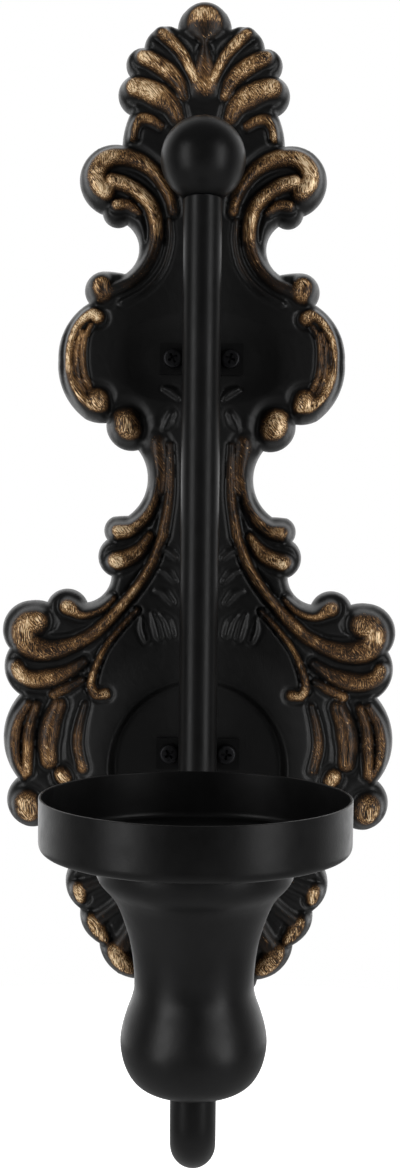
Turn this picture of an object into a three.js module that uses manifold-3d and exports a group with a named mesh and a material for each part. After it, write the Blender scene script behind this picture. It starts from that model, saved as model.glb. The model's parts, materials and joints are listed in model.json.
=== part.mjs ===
// Wall sconce candle holder: a stamped ornamental backplate, an upright tube that stands off it
// on two brackets and bends forward under the cup, a ball finial, and a vase with a candle dish
// clamped on it by one long bolt.
// Millimetres. +Z is up, +Y points into the wall, so the candle dish stands towards -Y.
// Everything is drawn from a datum on the wall plane behind the upper fixing; the whole drawing is
// then shifted so that the part's origin is on the hanger's back face, just above its keyhole.
import * as THREE from "three";
import { mergeVertices } from "three/addons/utils/BufferGeometryUtils.js";
import Module from "manifold-3d";

const wasm = await Module();
wasm.setup();

// ---- Driving dimensions ----
const ORIGIN_Z = 27; // above the upper fixing: the middle of the hanger's land
const SHEET = 1.2; // stamped sheet, measured along Y
const FLANGE_WIDTH = 1.3; // flat edge that lies on the wall
const SHOULDER_WIDTH = 3.4; // slope from the flange up to the field
const FIELD = 7.6; // front of the plain field, above the wall
const FLOOR = 6; // front of the two flat floors that carry the brackets
const UPPER_FIXING_Z = 0;
const LOWER_FIXING_Z = -138.5;
const SCREW_X = 10; // each screw, either side of the centre line

const STEM_R = 6.5;
const STEM_WALL = 1.2;
const STEM_Y = -28; // axis of the upright
const STEM_TOP_Z = 50.5;
const REACH = 84; // from the upright's axis to the cup's axis
const CUP_Y = STEM_Y - REACH;
const REAR_BEND_R = 16; // on the tube's centre line
const FRONT_BEND_R = 10;
const LEG_TOP_Z = -218.4;
const RUN_Z = -237.3; // centre line of the run under the cup
const STEM_SIDES = 20;

const FINIAL_R = 14.25;
const FINIAL_Z = 63.8;

const RIM_Z = -135;
const DISH_R = 44;
const DISH_SHEET = 0.9;
const DISH_FLOOR_Z = -149.3; // upper face of the dish's flat floor
const WELL_R = 25.2; // outside of the well under the dish
const WELL_FLOOR_Z = -157.8; // upper face of the well's floor
const VASE_SHEET = 1;
const VASE_TOP_Z = -150.5; // the dish rests on this lip, its well inside
const VASE_BOTTOM_Z = -217.4;

const BOLT_R = 3;
const SCREW_R = 2;
const SCREW_TIP_Y = -0.7;
const NUT_FLATS = 7;
const NUT_THICK = 2.4;
const BRACKET_STOCK = 1.5;
const HANGER_STOCK = 1.2;
const BRAZING = 0.08; // left for the brazing between the tube and each bracket's saddle

// ---- Materials ----
const blackPaint = new THREE.MeshStandardMaterial({ color: 0x151515, roughness: 0.5, metalness: 0.1 });
const antiqueGilt = new THREE.MeshStandardMaterial({ color: 0x2a2118, roughness: 0.45, metalness: 0.4 });
const plated = new THREE.MeshStandardMaterial({ color: 0x8d8f90, roughness: 0.35, metalness: 0.9 });
const blackened = new THREE.MeshStandardMaterial({ color: 0x202020, roughness: 0.4, metalness: 0.7 });

// ---- Solids ----
function toSolid(geometry) {
  const bare = (geometry.index ? geometry.toNonIndexed() : geometry.clone())
    .deleteAttribute("normal")
    .deleteAttribute("uv");
  const merged = mergeVertices(bare, 1e-4);
  return new wasm.Manifold(
    new wasm.Mesh({
      numProp: 3,
      vertProperties: merged.attributes.position.array,
      triVerts: new Uint32Array(merged.index.array),
    }),
  );
}

function fromSolid(solid) {
  const mesh = solid.getMesh();
  const geometry = new THREE.BufferGeometry();
  const points = new Float32Array(mesh.numVert * 3);
  for (let v = 0; v < mesh.numVert; v++)
    for (let axis = 0; axis < 3; axis++)
      points[v * 3 + axis] = mesh.vertProperties[v * mesh.numProp + axis];
  geometry.setAttribute("position", new THREE.BufferAttribute(points, 3));
  geometry.setIndex(new THREE.BufferAttribute(new Uint32Array(mesh.triVerts), 1));
  return geometry;
}

// Cuts every tool out of a geometry.
function cut(geometry, tools) {
  const left = tools.reduce((solid, tool) => solid.subtract(toSolid(tool)), toSolid(geometry));
  return fromSolid(left);
}

// A round bar along Z from z0 to z1.
function barZ(radius, z0, z1, sides = 24) {
  return new THREE.CylinderGeometry(radius, radius, z1 - z0, sides)
    .rotateX(Math.PI / 2)
    .translate(0, 0, (z0 + z1) / 2);
}

// A round bar along Y from y0 to y1.
function barY(radius, y0, y1, sides = 20) {
  return new THREE.CylinderGeometry(radius, radius, y1 - y0, sides).translate(0, (y0 + y1) / 2, 0);
}

// A solid of revolution about Z from [radius, height] pairs that go anticlockwise round the section.
function turned(section, segments) {
  const points = section.map(([r, z]) => new THREE.Vector2(r, z));
  const first = points[0];
  if (first.x > 0) points.push(first.clone());
  return new THREE.LatheGeometry(points, segments).rotateX(Math.PI / 2);
}

// Points of a quarter fillet from one angle to another, in degrees.
function fillet(centreR, centreZ, radius, from, to, steps = 3) {
  return Array.from({ length: steps + 1 }, (_, i) => {
    const angle = THREE.MathUtils.degToRad(from + ((to - from) * i) / steps);
    return [centreR + radius * Math.cos(angle), centreZ + radius * Math.sin(angle)];
  });
}

// ---- Backplate ----
// Half outline from the crest to the bottom tip. Each row is one arc: [through x, z, to x, z].
const OUTLINE_START = [0, 125];
const OUTLINE_ARCS = [
  [6.6, 122.4, 9.5, 115.9], // crest
  [18.4, 114.8, 21.2, 109.2], // palmette lobes
  [27.3, 104.8, 26, 99.4],
  [30.2, 92.6, 26, 86.2],
  [27.9, 80.6, 28.6, 75.4],
  [43.5, 64, 35.4, 51.2], // upper scroll
  [31.8, 46.9, 26.8, 47.6],
  [22.6, 41, 27.3, 30.4], // waist
  [31, 31, 34.5, 31.2],
  [40.6, 27.6, 40, 20],
  [48.4, 10.8, 50.7, 0], // middle scroll
  [48.3, -12.2, 41, -20.8],
  [37.4, -22, 33.5, -22.1],
  [31, -29.2, 22.2, -31.6],
  [18.7, -42, 25.5, -54.9], // neck
  [28.2, -55, 30.8, -55.3],
  [33.6, -58.2, 32.9, -63.4],
  [36, -69, 31.3, -76.4],
  [33.4, -82, 39.8, -85.8],
  [47.3, -81, 54, -85.8], // shoulder lobes
  [57, -85.2, 60, -85.3],
  [69.2, -92.2, 67.4, -102.4],
  [69.1, -109.6, 63.7, -118.8],
  [69.3, -133.6, 64.2, -148.6],
  [67.9, -157.6, 60.4, -166],
  [56.4, -165.8, 53, -164],
  [46.8, -168.6, 43.4, -177],
  [46.8, -186.2, 41.5, -195.4], // lower palmette lobes
  [40.6, -201.6, 34.6, -207.6],
  [31.9, -214.8, 22, -220.4],
  [17.6, -227.6, 8.5, -230.4],
  [5.4, -234.8, 0, -236.4],
];

// Raised work on one half, mirrored onto the other. Each row: half widths and crest heights above
// the wall at the two ends of a curve, then the curve's points, x and z.
const RAISED_WORK = [
  [6.4, 5, 9.8, 9, [0, 118.6, 0, 113]], // crest dome and stem
  [3.4, 2.4, 8.6, 8, [0, 107, 0, 97, 0, 86]],
  [2.7, 1.4, 10, 8.4, [15.8, 112.6, 11, 108.4, 7.2, 103, 4.2, 97, 2.4, 91]], // palmette petals
  [2.9, 1.6, 10, 8.4, [21.8, 105.2, 16.8, 104, 12, 100.4, 8, 95.2, 5.2, 90]],
  [3.6, 2, 10.2, 8.8, [24.8, 94.6, 19.4, 94.2, 14, 90.2, 10.3, 85.4]],
  [1.7, 1.3, 9, 8, [24.9, 76.8, 24.2, 81.6, 20.4, 84, 15.5, 81.6]],
  [1.6, 3.2, 9.2, 11, // upper scroll
    [9, 49.5, 12.4, 57.6, 18, 64.6, 25, 69.8, 31, 70.9, 36.2, 68.2, 38.4, 62.6, 36.6, 57.8, 33, 55.8]],
  [2.4, 2.3, 10.6, 9,
    [32.2, 62, 27.6, 61.2, 22, 57.8, 18, 52.2, 16.2, 45.6, 17.2, 38, 20.6, 31.8, 27, 27.2, 34, 25]],
  [1.9, 1.3, 9.4, 8.4, [30.2, 53.8, 26.4, 53.4, 22.6, 50]],
  [4, 3.7, 10.2, 10.2, [37, 26.6, 36, 23.8]],
  [1.5, 1.9, 10, 10.4, // middle scroll
    [35, 13.2, 36.8, 16, 40.2, 14.4, 44.6, 8, 46.3, 0, 45.3, -8, 42.2, -14, 37.4, -18]],
  [1.4, 1.5, 9.4, 9.4, [38.6, 11.2, 40.3, 6, 40.8, -2, 39.9, -8.8, 37.6, -13]],
  [3.7, 3.7, 10.6, 10.6, [36.2, -15, 35.7, -16]],
  [5.7, 5.7, 11, 11, [26.8, -23, 26.3, -24.2]],
  [1.4, 3.6, 9, 11.4, // long scroll
    [11, -29, 10.8, -42, 12, -54, 14.6, -65, 19.6, -76, 27, -85.6, 36, -93, 47, -98.4,
      56.4, -99.8, 61.8, -96.4, 61.6, -92.4, 58.6, -90.6]],
  [1.4, 2.8, 9, 10.2, [14.4, -32, 14.8, -44, 17.8, -51.8, 21.8, -57.4, 26, -59.8, 28.8, -59.8]],
  [1.5, 3, 9, 10.2, [16.8, -60, 20.6, -66.6, 25.2, -69.8, 30, -69.9]],
  [1.3, 2.3, 8.8, 9.6, [24.6, -79, 31.6, -85.8, 38.6, -89, 44.2, -87.8, 47.6, -86]],
  [1.4, 3.2, 9, 10.4, [32.5, -97, 40, -104.2, 48, -108.4, 56, -110.8, 61.4, -110.4, 64.4, -107.8]],
  [1.7, 1.6, 9.2, 9.2, [40, -109.6, 45.2, -114.4, 51, -117]],
  [1.2, 1.9, 9.8, 10.4,
    [19.5, -85.6, 26.4, -92.6, 32.4, -100.6, 36.8, -109, 37.9, -114.2, 35.6, -117.4, 32.4, -116.2]],
  [1.6, 1.8, 9.6, 9.6, [60.6, -120.4, 64, -126.4, 65.2, -134, 64.4, -141, 62.2, -146]], // side leaves
  [1.7, 2.3, 10.2, 10.2, [58.2, -122, 60.2, -130, 60.8, -138, 60, -145.6]],
  [3, 3.3, 10.2, 10.2, [49.6, -120.8, 53, -127, 55, -134, 54.2, -141]],
  [1.4, 2, 9.6, 9.8, [41.4, -121, 42.8, -130, 42.4, -138, 40.4, -144.4]],
  [2.8, 2.8, 9.8, 9.8, [47.6, -146.2, 47.2, -147.2]],
  [5, 5, 10.6, 10.6, [60.8, -157.2, 60.2, -158.8]],
  [3, 1.6, 9, 8, [49, -158, 38, -163.5, 26, -168]],
  [3, 1.6, 9.8, 8.2, [41.4, -188.4, 34, -183.4, 24, -179, 14, -176]], // lower palmette ribs
  [3.4, 1.6, 9.8, 8.2, [36.4, -201.6, 30, -194.4, 21, -186.4, 12, -181]],
  [3.6, 1.6, 9.8, 8.2, [28, -212.4, 22.8, -203.6, 16.4, -194, 9.6, -185]],
  [3.4, 1.6, 9.8, 8.2, [15.2, -222.4, 12.6, -212, 9, -201, 5, -189]],
  [4.2, 2.6, 9.8, 8.2, [0, -228.4, 0, -214, 0, -198]],
];

const OUTLINE_STEP = 3.3;
const INNER_STEP = 7;
const LEAST_SPACING = 2.1;
const RECESS = { z: LOWER_FIXING_Z, radius: 32.5, edge: 5, lip: 9.4 };
const BASIN = { radiusX: 37, radiusZ: 19, flat: 0.56 };
const RINGS = [ // where the two floors begin and end: centre z, half width, half height
  [UPPER_FIXING_Z, BASIN.radiusX * BASIN.flat, BASIN.radiusZ * BASIN.flat],
  [UPPER_FIXING_Z, BASIN.radiusX, BASIN.radiusZ],
  [RECESS.z, RECESS.radius - RECESS.edge, RECESS.radius - RECESS.edge],
  [RECESS.z, RECESS.radius, RECESS.radius],
];

// The circle's arc from a through b to c, without its first point.
function arcThrough(a, b, c, step) {
  const d = 2 * (a[0] * (b[1] - c[1]) + b[0] * (c[1] - a[1]) + c[0] * (a[1] - b[1]));
  const square = (p) => p[0] * p[0] + p[1] * p[1];
  const cx = (square(a) * (b[1] - c[1]) + square(b) * (c[1] - a[1]) + square(c) * (a[1] - b[1])) / d;
  const cz = (square(a) * (c[0] - b[0]) + square(b) * (a[0] - c[0]) + square(c) * (b[0] - a[0])) / d;
  const radius = Math.hypot(a[0] - cx, a[1] - cz);
  const angle = (p) => Math.atan2(p[1] - cz, p[0] - cx);
  const turn = (from, to) => (to - from + 4 * Math.PI) % (2 * Math.PI);
  const clockwise = turn(angle(a), angle(b)) > turn(angle(a), angle(c));
  const sweep = clockwise ? -turn(angle(c), angle(a)) : turn(angle(a), angle(c));
  const count = Math.max(1, Math.round((Math.abs(sweep) * radius) / step));
  return Array.from({ length: count }, (_, i) => {
    const at = angle(a) + (sweep * (i + 1)) / count;
    return [cx + radius * Math.cos(at), cz + radius * Math.sin(at)];
  });
}

function plateOutline(step) {
  const half = [OUTLINE_START];
  let from = OUTLINE_START;
  for (const [throughX, throughZ, toX, toZ] of OUTLINE_ARCS) {
    half.push(...arcThrough(from, [throughX, throughZ], [toX, toZ], step));
    from = [toX, toZ];
  }
  half[half.length - 1][0] = 0;
  const mirrored = half.slice(1, -1).reverse().map(([x, z]) => [-x, z]);
  return [...half, ...mirrored];
}

const outline = plateOutline(OUTLINE_STEP);

function segmentDistance(px, pz, a, b) {
  const dx = b[0] - a[0];
  const dz = b[1] - a[1];
  const along = THREE.MathUtils.clamp(((px - a[0]) * dx + (pz - a[1]) * dz) / (dx * dx + dz * dz), 0, 1);
  return [Math.hypot(px - a[0] - along * dx, pz - a[1] - along * dz), along];
}

function outlineDistance(x, z) {
  return Math.min(...outline.map((a, i) => segmentDistance(x, z, a, outline[(i + 1) % outline.length])[0]));
}

function insideOutline(x, z) {
  let inside = false;
  outline.forEach((a, i) => {
    const b = outline[(i + 1) % outline.length];
    if (a[1] > z !== b[1] > z && x < ((b[0] - a[0]) * (z - a[1])) / (b[1] - a[1]) + a[0]) inside = !inside;
  });
  return inside;
}

const curves = RAISED_WORK.map(([width0, width1, crest0, crest1, flat]) => {
  const knots = [];
  for (let i = 0; i < flat.length; i += 2) knots.push(new THREE.Vector2(flat[i], flat[i + 1]));
  const spline = new THREE.SplineCurve(knots);
  const count = Math.max(2, Math.round(spline.getLength() / 6));
  return { width0, width1, crest0, crest1, spline, points: spline.getSpacedPoints(count) };
});

// Height of one raised curve above the wall at a point, or 0 beside it.
function curveHeight(curve, x, z) {
  const last = curve.points.length - 1;
  let best = [Infinity, 0];
  for (let i = 0; i < last; i++) {
    const a = curve.points[i];
    const b = curve.points[i + 1];
    const [distance, along] = segmentDistance(x, z, [a.x, a.y], [b.x, b.y]);
    if (distance < best[0]) best = [distance, (i + along) / last];
  }
  const [distance, share] = best;
  const width = THREE.MathUtils.lerp(curve.width0, curve.width1, share);
  if (distance >= width) return 0;
  const crest = THREE.MathUtils.lerp(curve.crest0, curve.crest1, share);
  return FLOOR + (crest - FLOOR) * Math.sqrt(1 - (distance / width) ** 2);
}

// Front of the plain field: flat floors at the two fixings, a raised lip round the lower one.
function fieldHeight(x, z) {
  const out = Math.hypot(x, z - RECESS.z) - RECESS.radius;
  const lip = THREE.MathUtils.smoothstep(out, -RECESS.edge, 0);
  const fade = THREE.MathUtils.smoothstep(out, 4, 16);
  const nearRecess = THREE.MathUtils.lerp(FLOOR + (RECESS.lip - FLOOR) * lip, FIELD, fade);
  const share = Math.hypot(x / BASIN.radiusX, z / BASIN.radiusZ);
  const nearBasin = FLOOR + (FIELD - FLOOR) * THREE.MathUtils.smoothstep(share, BASIN.flat, 1);
  return Math.abs(z) < BASIN.radiusZ ? nearBasin : nearRecess;
}

function plateHeight(x, z, edgeDistance) {
  const side = Math.abs(x);
  const raised = Math.max(fieldHeight(x, z), ...curves.map((curve) => curveHeight(curve, side, z)));
  const shoulder = THREE.MathUtils.smoothstep(edgeDistance, FLANGE_WIDTH, FLANGE_WIDTH + SHOULDER_WIDTH);
  return SHEET + (raised - SHEET) * shoulder;
}

// Sample points of one half of the sheet (x >= 0): outline, centre line, flange, then crests and a
// filling grid, each clear of the points before it.
function halfPlatePoints() {
  const points = outline
    .filter(([x]) => x >= 0)
    .map(([x, z]) => ({ x, z, height: SHEET }));
  const bottom = points.reduce((least, p) => Math.min(least, p.z), 0);
  const far = (x, z, spacing) => points.every((p) => Math.hypot(p.x - x, p.z - z) >= spacing);
  const offer = (x, z, leastEdge, spacing) => {
    if (x < 0 || !insideOutline(x || 1e-6, z)) return;
    const edge = outlineDistance(x, z);
    if (edge < leastEdge || !far(x, z, spacing) || (x > 0 && x < spacing * 0.7)) return;
    points.push({ x, z, height: plateHeight(x, z, edge) });
  };
  const flangeZ = [OUTLINE_START[1] - FLANGE_WIDTH, bottom + FLANGE_WIDTH];
  for (const z of flangeZ) offer(0, z, 0, 0.5);
  const centreSteps = Math.round((flangeZ[0] - flangeZ[1]) / 4);
  for (let i = 1; i < centreSteps; i++)
    offer(0, flangeZ[0] + ((flangeZ[1] - flangeZ[0]) * i) / centreSteps, FLANGE_WIDTH + 1, 1);
  outline.forEach(([x, z], i) => {
    const before = outline[(i + outline.length - 1) % outline.length];
    const after = outline[(i + 1) % outline.length];
    const along = new THREE.Vector2(after[0] - before[0], after[1] - before[1]).normalize();
    offer(x + along.y * FLANGE_WIDTH, z - along.x * FLANGE_WIDTH, FLANGE_WIDTH * 0.9, 1.2);
  });
  for (const z of [UPPER_FIXING_Z, LOWER_FIXING_Z])
    for (const [x, dz] of [[15.2, 6.2], [15.2, 0], [15.2, -6.2], [8, 7], [8, -7]]) offer(x, z + dz, 2, 1);
  for (const offset of [0, 1, -1])
    for (const curve of curves)
      curve.points.forEach((p, i) => {
        const share = i / (curve.points.length - 1);
        const across = curve.spline.getTangentAt(share);
        const reach = offset * (THREE.MathUtils.lerp(curve.width0, curve.width1, share) + 0.4);
        offer(p.x - across.y * reach, p.y + across.x * reach, FLANGE_WIDTH + 1, LEAST_SPACING);
      });
  for (const [z, radiusX, radiusZ] of RINGS)
    for (let i = 0; i < 15; i++) {
      const angle = ((i + 0.5) / 15) * Math.PI;
      offer(radiusX * Math.sin(angle), z + radiusZ * Math.cos(angle), 2.5, 2);
    }
  for (let row = 0; row < 60; row++)
    for (let column = 1; column < 12; column++)
      offer((column + (row % 2) / 2) * INNER_STEP, 122 - row * INNER_STEP, 3, 3.4);
  return points;
}

// Delaunay triangles of the points, as index triples.
function delaunay(points) {
  const far = 1e4;
  const all = [...points, { x: -far, z: -far }, { x: far, z: -far }, { x: 0, z: far }];
  const n = points.length;
  const withCircle = (a, b, c) => {
    const [p, q, r] = [all[a], all[b], all[c]];
    const bx = q.x - p.x;
    const bz = q.z - p.z;
    const cx = r.x - p.x;
    const cz = r.z - p.z;
    const d = 2 * (bx * cz - bz * cx);
    const ux = (cz * (bx * bx + bz * bz) - bz * (cx * cx + cz * cz)) / d;
    const uz = (bx * (cx * cx + cz * cz) - cx * (bx * bx + bz * bz)) / d;
    return { corners: [a, b, c], x: p.x + ux, z: p.z + uz, square: ux * ux + uz * uz };
  };
  let triangles = [withCircle(n, n + 1, n + 2)];
  for (let i = 0; i < n; i++) {
    const edges = new Map();
    triangles = triangles.filter((t) => {
      if ((all[i].x - t.x) ** 2 + (all[i].z - t.z) ** 2 >= t.square * (1 - 1e-9)) return true;
      for (let k = 0; k < 3; k++) {
        const [a, b] = [t.corners[k], t.corners[(k + 1) % 3]];
        if (!edges.delete(`${b},${a}`)) edges.set(`${a},${b}`, [a, b]);
      }
      return false;
    });
    for (const [a, b] of edges.values()) triangles.push(withCircle(a, b, i));
  }
  return triangles.map((t) => t.corners).filter((corners) => corners.every((c) => c < n));
}

function backplateGeometry() {
  const half = halfPlatePoints();
  const inside = delaunay(half).filter((corners) => {
    const x = corners.reduce((sum, c) => sum + half[c].x, 0) / 3;
    const z = corners.reduce((sum, c) => sum + half[c].z, 0) / 3;
    return x > 0.01 && insideOutline(x, z);
  });
  const position = [];
  const push = ({ x, z, height }, hand, back) =>
    position.push(hand * x, -height + (back ? SHEET : 0), z);
  const directed = new Set();
  for (const [a, b, c] of inside) {
    const corners = [half[a], half[b], half[c]];
    const turnedOver = corners.slice().reverse();
    for (const corner of corners) push(corner, 1, false);
    for (const corner of turnedOver) push(corner, -1, false);
    for (const corner of turnedOver) push(corner, 1, true);
    for (const corner of corners) push(corner, -1, true);
    for (const edge of [[a, b], [b, c], [c, a]]) directed.add(edge.join());
  }
  for (const key of directed) {
    const [a, b] = key.split(",").map(Number);
    if (directed.has(`${b},${a}`) || half[a].x + half[b].x === 0) continue;
    const wall = [[b, 0], [a, 0], [a, 1], [b, 0], [a, 1], [b, 1]];
    for (const [corner, back] of wall) push(half[corner], 1, back);
    for (const [corner, back] of wall.slice().reverse()) push(half[corner], -1, back);
  }
  const sheet = new THREE.BufferGeometry();
  sheet.setAttribute("position", new THREE.Float32BufferAttribute(position, 3));
  const holes = fixingPoints.map(([x, z]) => barY(SCREW_R + 0.25, -FLOOR - 1, 0, 16).translate(x, 0, z));
  return cut(sheet, holes);
}

const fixingPoints = [UPPER_FIXING_Z, LOWER_FIXING_Z].flatMap((z) => [[-SCREW_X, z], [SCREW_X, z]]);

// ---- Hanger: a joggled strap clamped under the upper nuts, with a keyhole for a wall screw ----
const HANGER = { halfWidth: 14.5, tabHalf: 11, bottom: -6, knee: 4.6, tabStart: 7, top: 32 };
const KEYHOLE = { headR: 4.5, headZ: 12.6, slotHalf: 2.3, seatZ: 20 };

function hangerGeometry() {
  const frontFoot = -FLOOR + SHEET;
  const { bottom, knee, tabStart, top } = HANGER;
  const section = new THREE.Shape([
    [frontFoot, bottom],
    [frontFoot + HANGER_STOCK, bottom],
    [frontFoot + HANGER_STOCK, knee],
    [0, tabStart],
    [0, top],
    [-HANGER_STOCK, top],
    [-HANGER_STOCK, tabStart + 0.6],
    [frontFoot, knee + 0.6],
  ].map(([y, z]) => new THREE.Vector2(y, z)));
  // The section is drawn in Y and Z and extruded along X.
  const width = { depth: 2 * HANGER.halfWidth, steps: 1, bevelEnabled: false };
  const strap = new THREE.ExtrudeGeometry(section, width)
    .translate(0, 0, -HANGER.halfWidth)
    .applyMatrix4(new THREE.Matrix4().makeBasis(
      new THREE.Vector3(0, 1, 0), new THREE.Vector3(0, 0, 1), new THREE.Vector3(1, 0, 0)));
  const keyhole = new THREE.Shape();
  const half = Math.asin(KEYHOLE.slotHalf / KEYHOLE.headR);
  const up = Math.PI / 2;
  keyhole.absarc(0, KEYHOLE.headZ, KEYHOLE.headR, up + half, up - half + 2 * Math.PI, false);
  keyhole.absarc(0, KEYHOLE.seatZ, KEYHOLE.slotHalf, 0, Math.PI, false);
  const slot = new THREE.ExtrudeGeometry(keyhole, { depth: 8, bevelEnabled: false, curveSegments: 14 })
    .rotateX(Math.PI / 2)
    .translate(0, 2, 0);
  const ears = [1, -1].map((side) =>
    new THREE.BoxGeometry(10, 12, 40).translate(side * (HANGER.tabHalf + 5), 0, HANGER.knee + 21.5));
  const hole = barY(SCREW_R + 0.25, -8, 0, 16);
  const holes = [-SCREW_X, SCREW_X].map((x) => hole.clone().translate(x, 0, UPPER_FIXING_Z));
  return cut(strap, [slot, ...ears, ...holes]);
}

// ---- Stem: one bent tube, upright, run under the cup and short leg up to it ----
class StationPath extends THREE.Curve {
  constructor(stations) {
    super();
    this.stations = stations;
  }
  at(u) {
    return this.stations[Math.round(u * (this.stations.length - 1))];
  }
  getPointAt(u) {
    return this.at(u).point.clone();
  }
  getTangentAt(u) {
    return this.at(u).tangent.clone();
  }
}

function stemStations() {
  const stations = [];
  const add = (y, z, ty, tz) =>
    stations.push({ point: new THREE.Vector3(0, y, z), tangent: new THREE.Vector3(0, ty, tz).normalize() });
  const bendSteps = 7;
  add(STEM_Y, STEM_TOP_Z, 0, -1);
  for (let i = 0; i <= bendSteps; i++) {
    const turn = (i / bendSteps) * (Math.PI / 2);
    const [across, down] = [Math.sin(turn), Math.cos(turn)];
    add(STEM_Y - REAR_BEND_R * (1 - down), RUN_Z + REAR_BEND_R * (1 - across), -across, -down);
  }
  for (let i = 0; i <= bendSteps; i++) {
    const turn = (i / bendSteps) * (Math.PI / 2);
    const [up, across] = [Math.sin(turn), Math.cos(turn)];
    add(CUP_Y + FRONT_BEND_R * (1 - up), RUN_Z + FRONT_BEND_R * (1 - across), -across, up);
  }
  add(CUP_Y, LEG_TOP_Z, 0, 1);
  return stations;
}

function stemGeometry() {
  const ring = (radius) =>
    Array.from({ length: STEM_SIDES }, (_, i) => {
      const angle = (i / STEM_SIDES) * 2 * Math.PI;
      return new THREE.Vector2(radius * Math.cos(angle), radius * Math.sin(angle));
    });
  const section = new THREE.Shape(ring(STEM_R));
  section.holes.push(new THREE.Path(ring(STEM_R - STEM_WALL)));
  const stations = stemStations();
  const extrudePath = new StationPath(stations);
  return new THREE.ExtrudeGeometry(section, { steps: stations.length - 1, extrudePath });
}

// ---- Tapped bushes pressed into the tube's two ends ----
const BUSH_R = STEM_R - STEM_WALL - 0.15;
const FINIAL_BUSH_LENGTH = 14;
const LEG_BUSH_LENGTH = 8;

// A bush under a flange that rests on the tube's end. Z 0 is the tube's end.
function bushGeometry(length, flangeR, flangeThick, boreR) {
  return turned([
    [boreR, -length],
    [BUSH_R - 0.5, -length],
    [BUSH_R, -length + 0.5],
    [BUSH_R, 0],
    [flangeR, 0],
    [flangeR, flangeThick],
    [boreR, flangeThick],
  ], STEM_SIDES);
}

const FINIAL_FLANGE = 0.6;
const LEG_FLANGE = VASE_BOTTOM_Z - LEG_TOP_Z;

// ---- Finial ----
const BALL_BASE = FINIAL_Z - (STEM_TOP_Z + FINIAL_FLANGE); // below the ball's centre
const STUD_R = 2.9;
const STUD_IN_BALL = 11;
const STUD_IN_BUSH = 11;

function ballGeometry() {
  const start = Math.asin(-BALL_BASE / FINIAL_R);
  const rings = 12;
  const skin = Array.from({ length: rings + 1 }, (_, i) => {
    const latitude = start + ((Math.PI / 2 - start) * i) / rings;
    return [i === rings ? 0 : FINIAL_R * Math.cos(latitude), FINIAL_R * Math.sin(latitude)];
  });
  return turned([
    [0, -BALL_BASE + STUD_IN_BALL + 1],
    [STUD_R + 0.2, -BALL_BASE + STUD_IN_BALL + 1],
    [STUD_R + 0.2, -BALL_BASE],
    ...skin,
  ], 28);
}

// ---- Cup: vase, dish, bolt and washer ----
const VASE_PROFILE = [ // outside radius and height, from the lip down
  [28.4, VASE_TOP_Z - 0.3],
  [28.2, -155],
  [27.5, -157.8],
  [26.4, -159.6],
  [24, -162],
  [21.9, -165.1],
  [19.8, -170.2],
  [18, -176.4],
  [17.1, -183],
  [16.9, -189],
  [18.1, -195],
  [19.8, -199.6],
  [20.3, -204],
  [19.5, -208.5],
  [17.6, -212.6],
  [14.4, -216.1],
  [11, -217.3],
  [6.6, VASE_BOTTOM_Z],
];

function vaseGeometry() {
  const outside = VASE_PROFILE.slice().reverse();
  const inside = VASE_PROFILE.slice(1, -1).map(([r, z], i) => {
    const before = VASE_PROFILE[i];
    const after = VASE_PROFILE[i + 2];
    const along = new THREE.Vector2(after[0] - before[0], after[1] - before[1]).normalize();
    return [r + along.y * VASE_SHEET, z - along.x * VASE_SHEET];
  });
  return turned([
    [BOLT_R + 0.2, VASE_BOTTOM_Z],
    ...outside,
    [28.1, VASE_TOP_Z],
    [27.4, VASE_TOP_Z],
    ...inside,
    [6.2, VASE_BOTTOM_Z + VASE_SHEET],
    [BOLT_R + 0.2, VASE_BOTTOM_Z + VASE_SHEET],
  ], 28);
}

function dishGeometry() {
  const under = DISH_FLOOR_Z - DISH_SHEET;
  const wellUnder = WELL_FLOOR_Z - DISH_SHEET;
  const inner = DISH_R - DISH_SHEET;
  const wellInner = WELL_R - DISH_SHEET;
  return turned([
    [BOLT_R + 0.2, wellUnder],
    ...fillet(WELL_R - 1.6, wellUnder + 1.6, 1.6, -90, 0, 2),
    [WELL_R, under - 0.9],
    [WELL_R + 0.9, under],
    ...fillet(DISH_R - 3, under + 3, 3, -90, 0),
    [DISH_R, RIM_Z - 0.25],
    [DISH_R - 0.45, RIM_Z],
    [inner, RIM_Z - 0.25],
    ...fillet(inner - 2.1, DISH_FLOOR_Z + 2.1, 2.1, 0, -90),
    [wellInner + 1.2, DISH_FLOOR_Z],
    [wellInner, DISH_FLOOR_Z - 1.2],
    ...fillet(wellInner - 0.8, WELL_FLOOR_Z + 0.8, 0.8, 0, -90, 1),
    [BOLT_R + 0.2, WELL_FLOOR_Z],
  ], 36);
}

const WASHER = { radius: 9, thick: 1.2 };
const BOLT_HEAD = { radius: 5.4, height: 2.6, socketR: 2.3, socketDepth: 1.5 };
const BOLT_IN_BUSH = 8;

function boltGeometry() {
  const seat = WELL_FLOOR_Z + WASHER.thick;
  const tip = VASE_BOTTOM_Z - BOLT_IN_BUSH;
  const head = turned([
    [0, tip],
    [BOLT_R - 0.6, tip],
    [BOLT_R, tip + 0.8],
    [BOLT_R, seat],
    [BOLT_HEAD.radius, seat],
    [BOLT_HEAD.radius, seat + 1.1],
    [BOLT_HEAD.radius - 0.9, seat + 2.1],
    [BOLT_HEAD.radius - 2.6, seat + BOLT_HEAD.height],
    [0, seat + BOLT_HEAD.height],
  ], 24);
  const socket = barZ(BOLT_HEAD.socketR, seat + BOLT_HEAD.height - BOLT_HEAD.socketDepth, seat + 6, 6);
  return cut(head, [socket]);
}

function washerGeometry() {
  return turned([
    [BOLT_R + 0.2, WELL_FLOOR_Z],
    [WASHER.radius, WELL_FLOOR_Z],
    [WASHER.radius, WELL_FLOOR_Z + WASHER.thick - 0.2],
    [WASHER.radius - 0.2, WELL_FLOOR_Z + WASHER.thick],
    [BOLT_R + 0.2, WELL_FLOOR_Z + WASHER.thick],
  ], 28);
}

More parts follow.
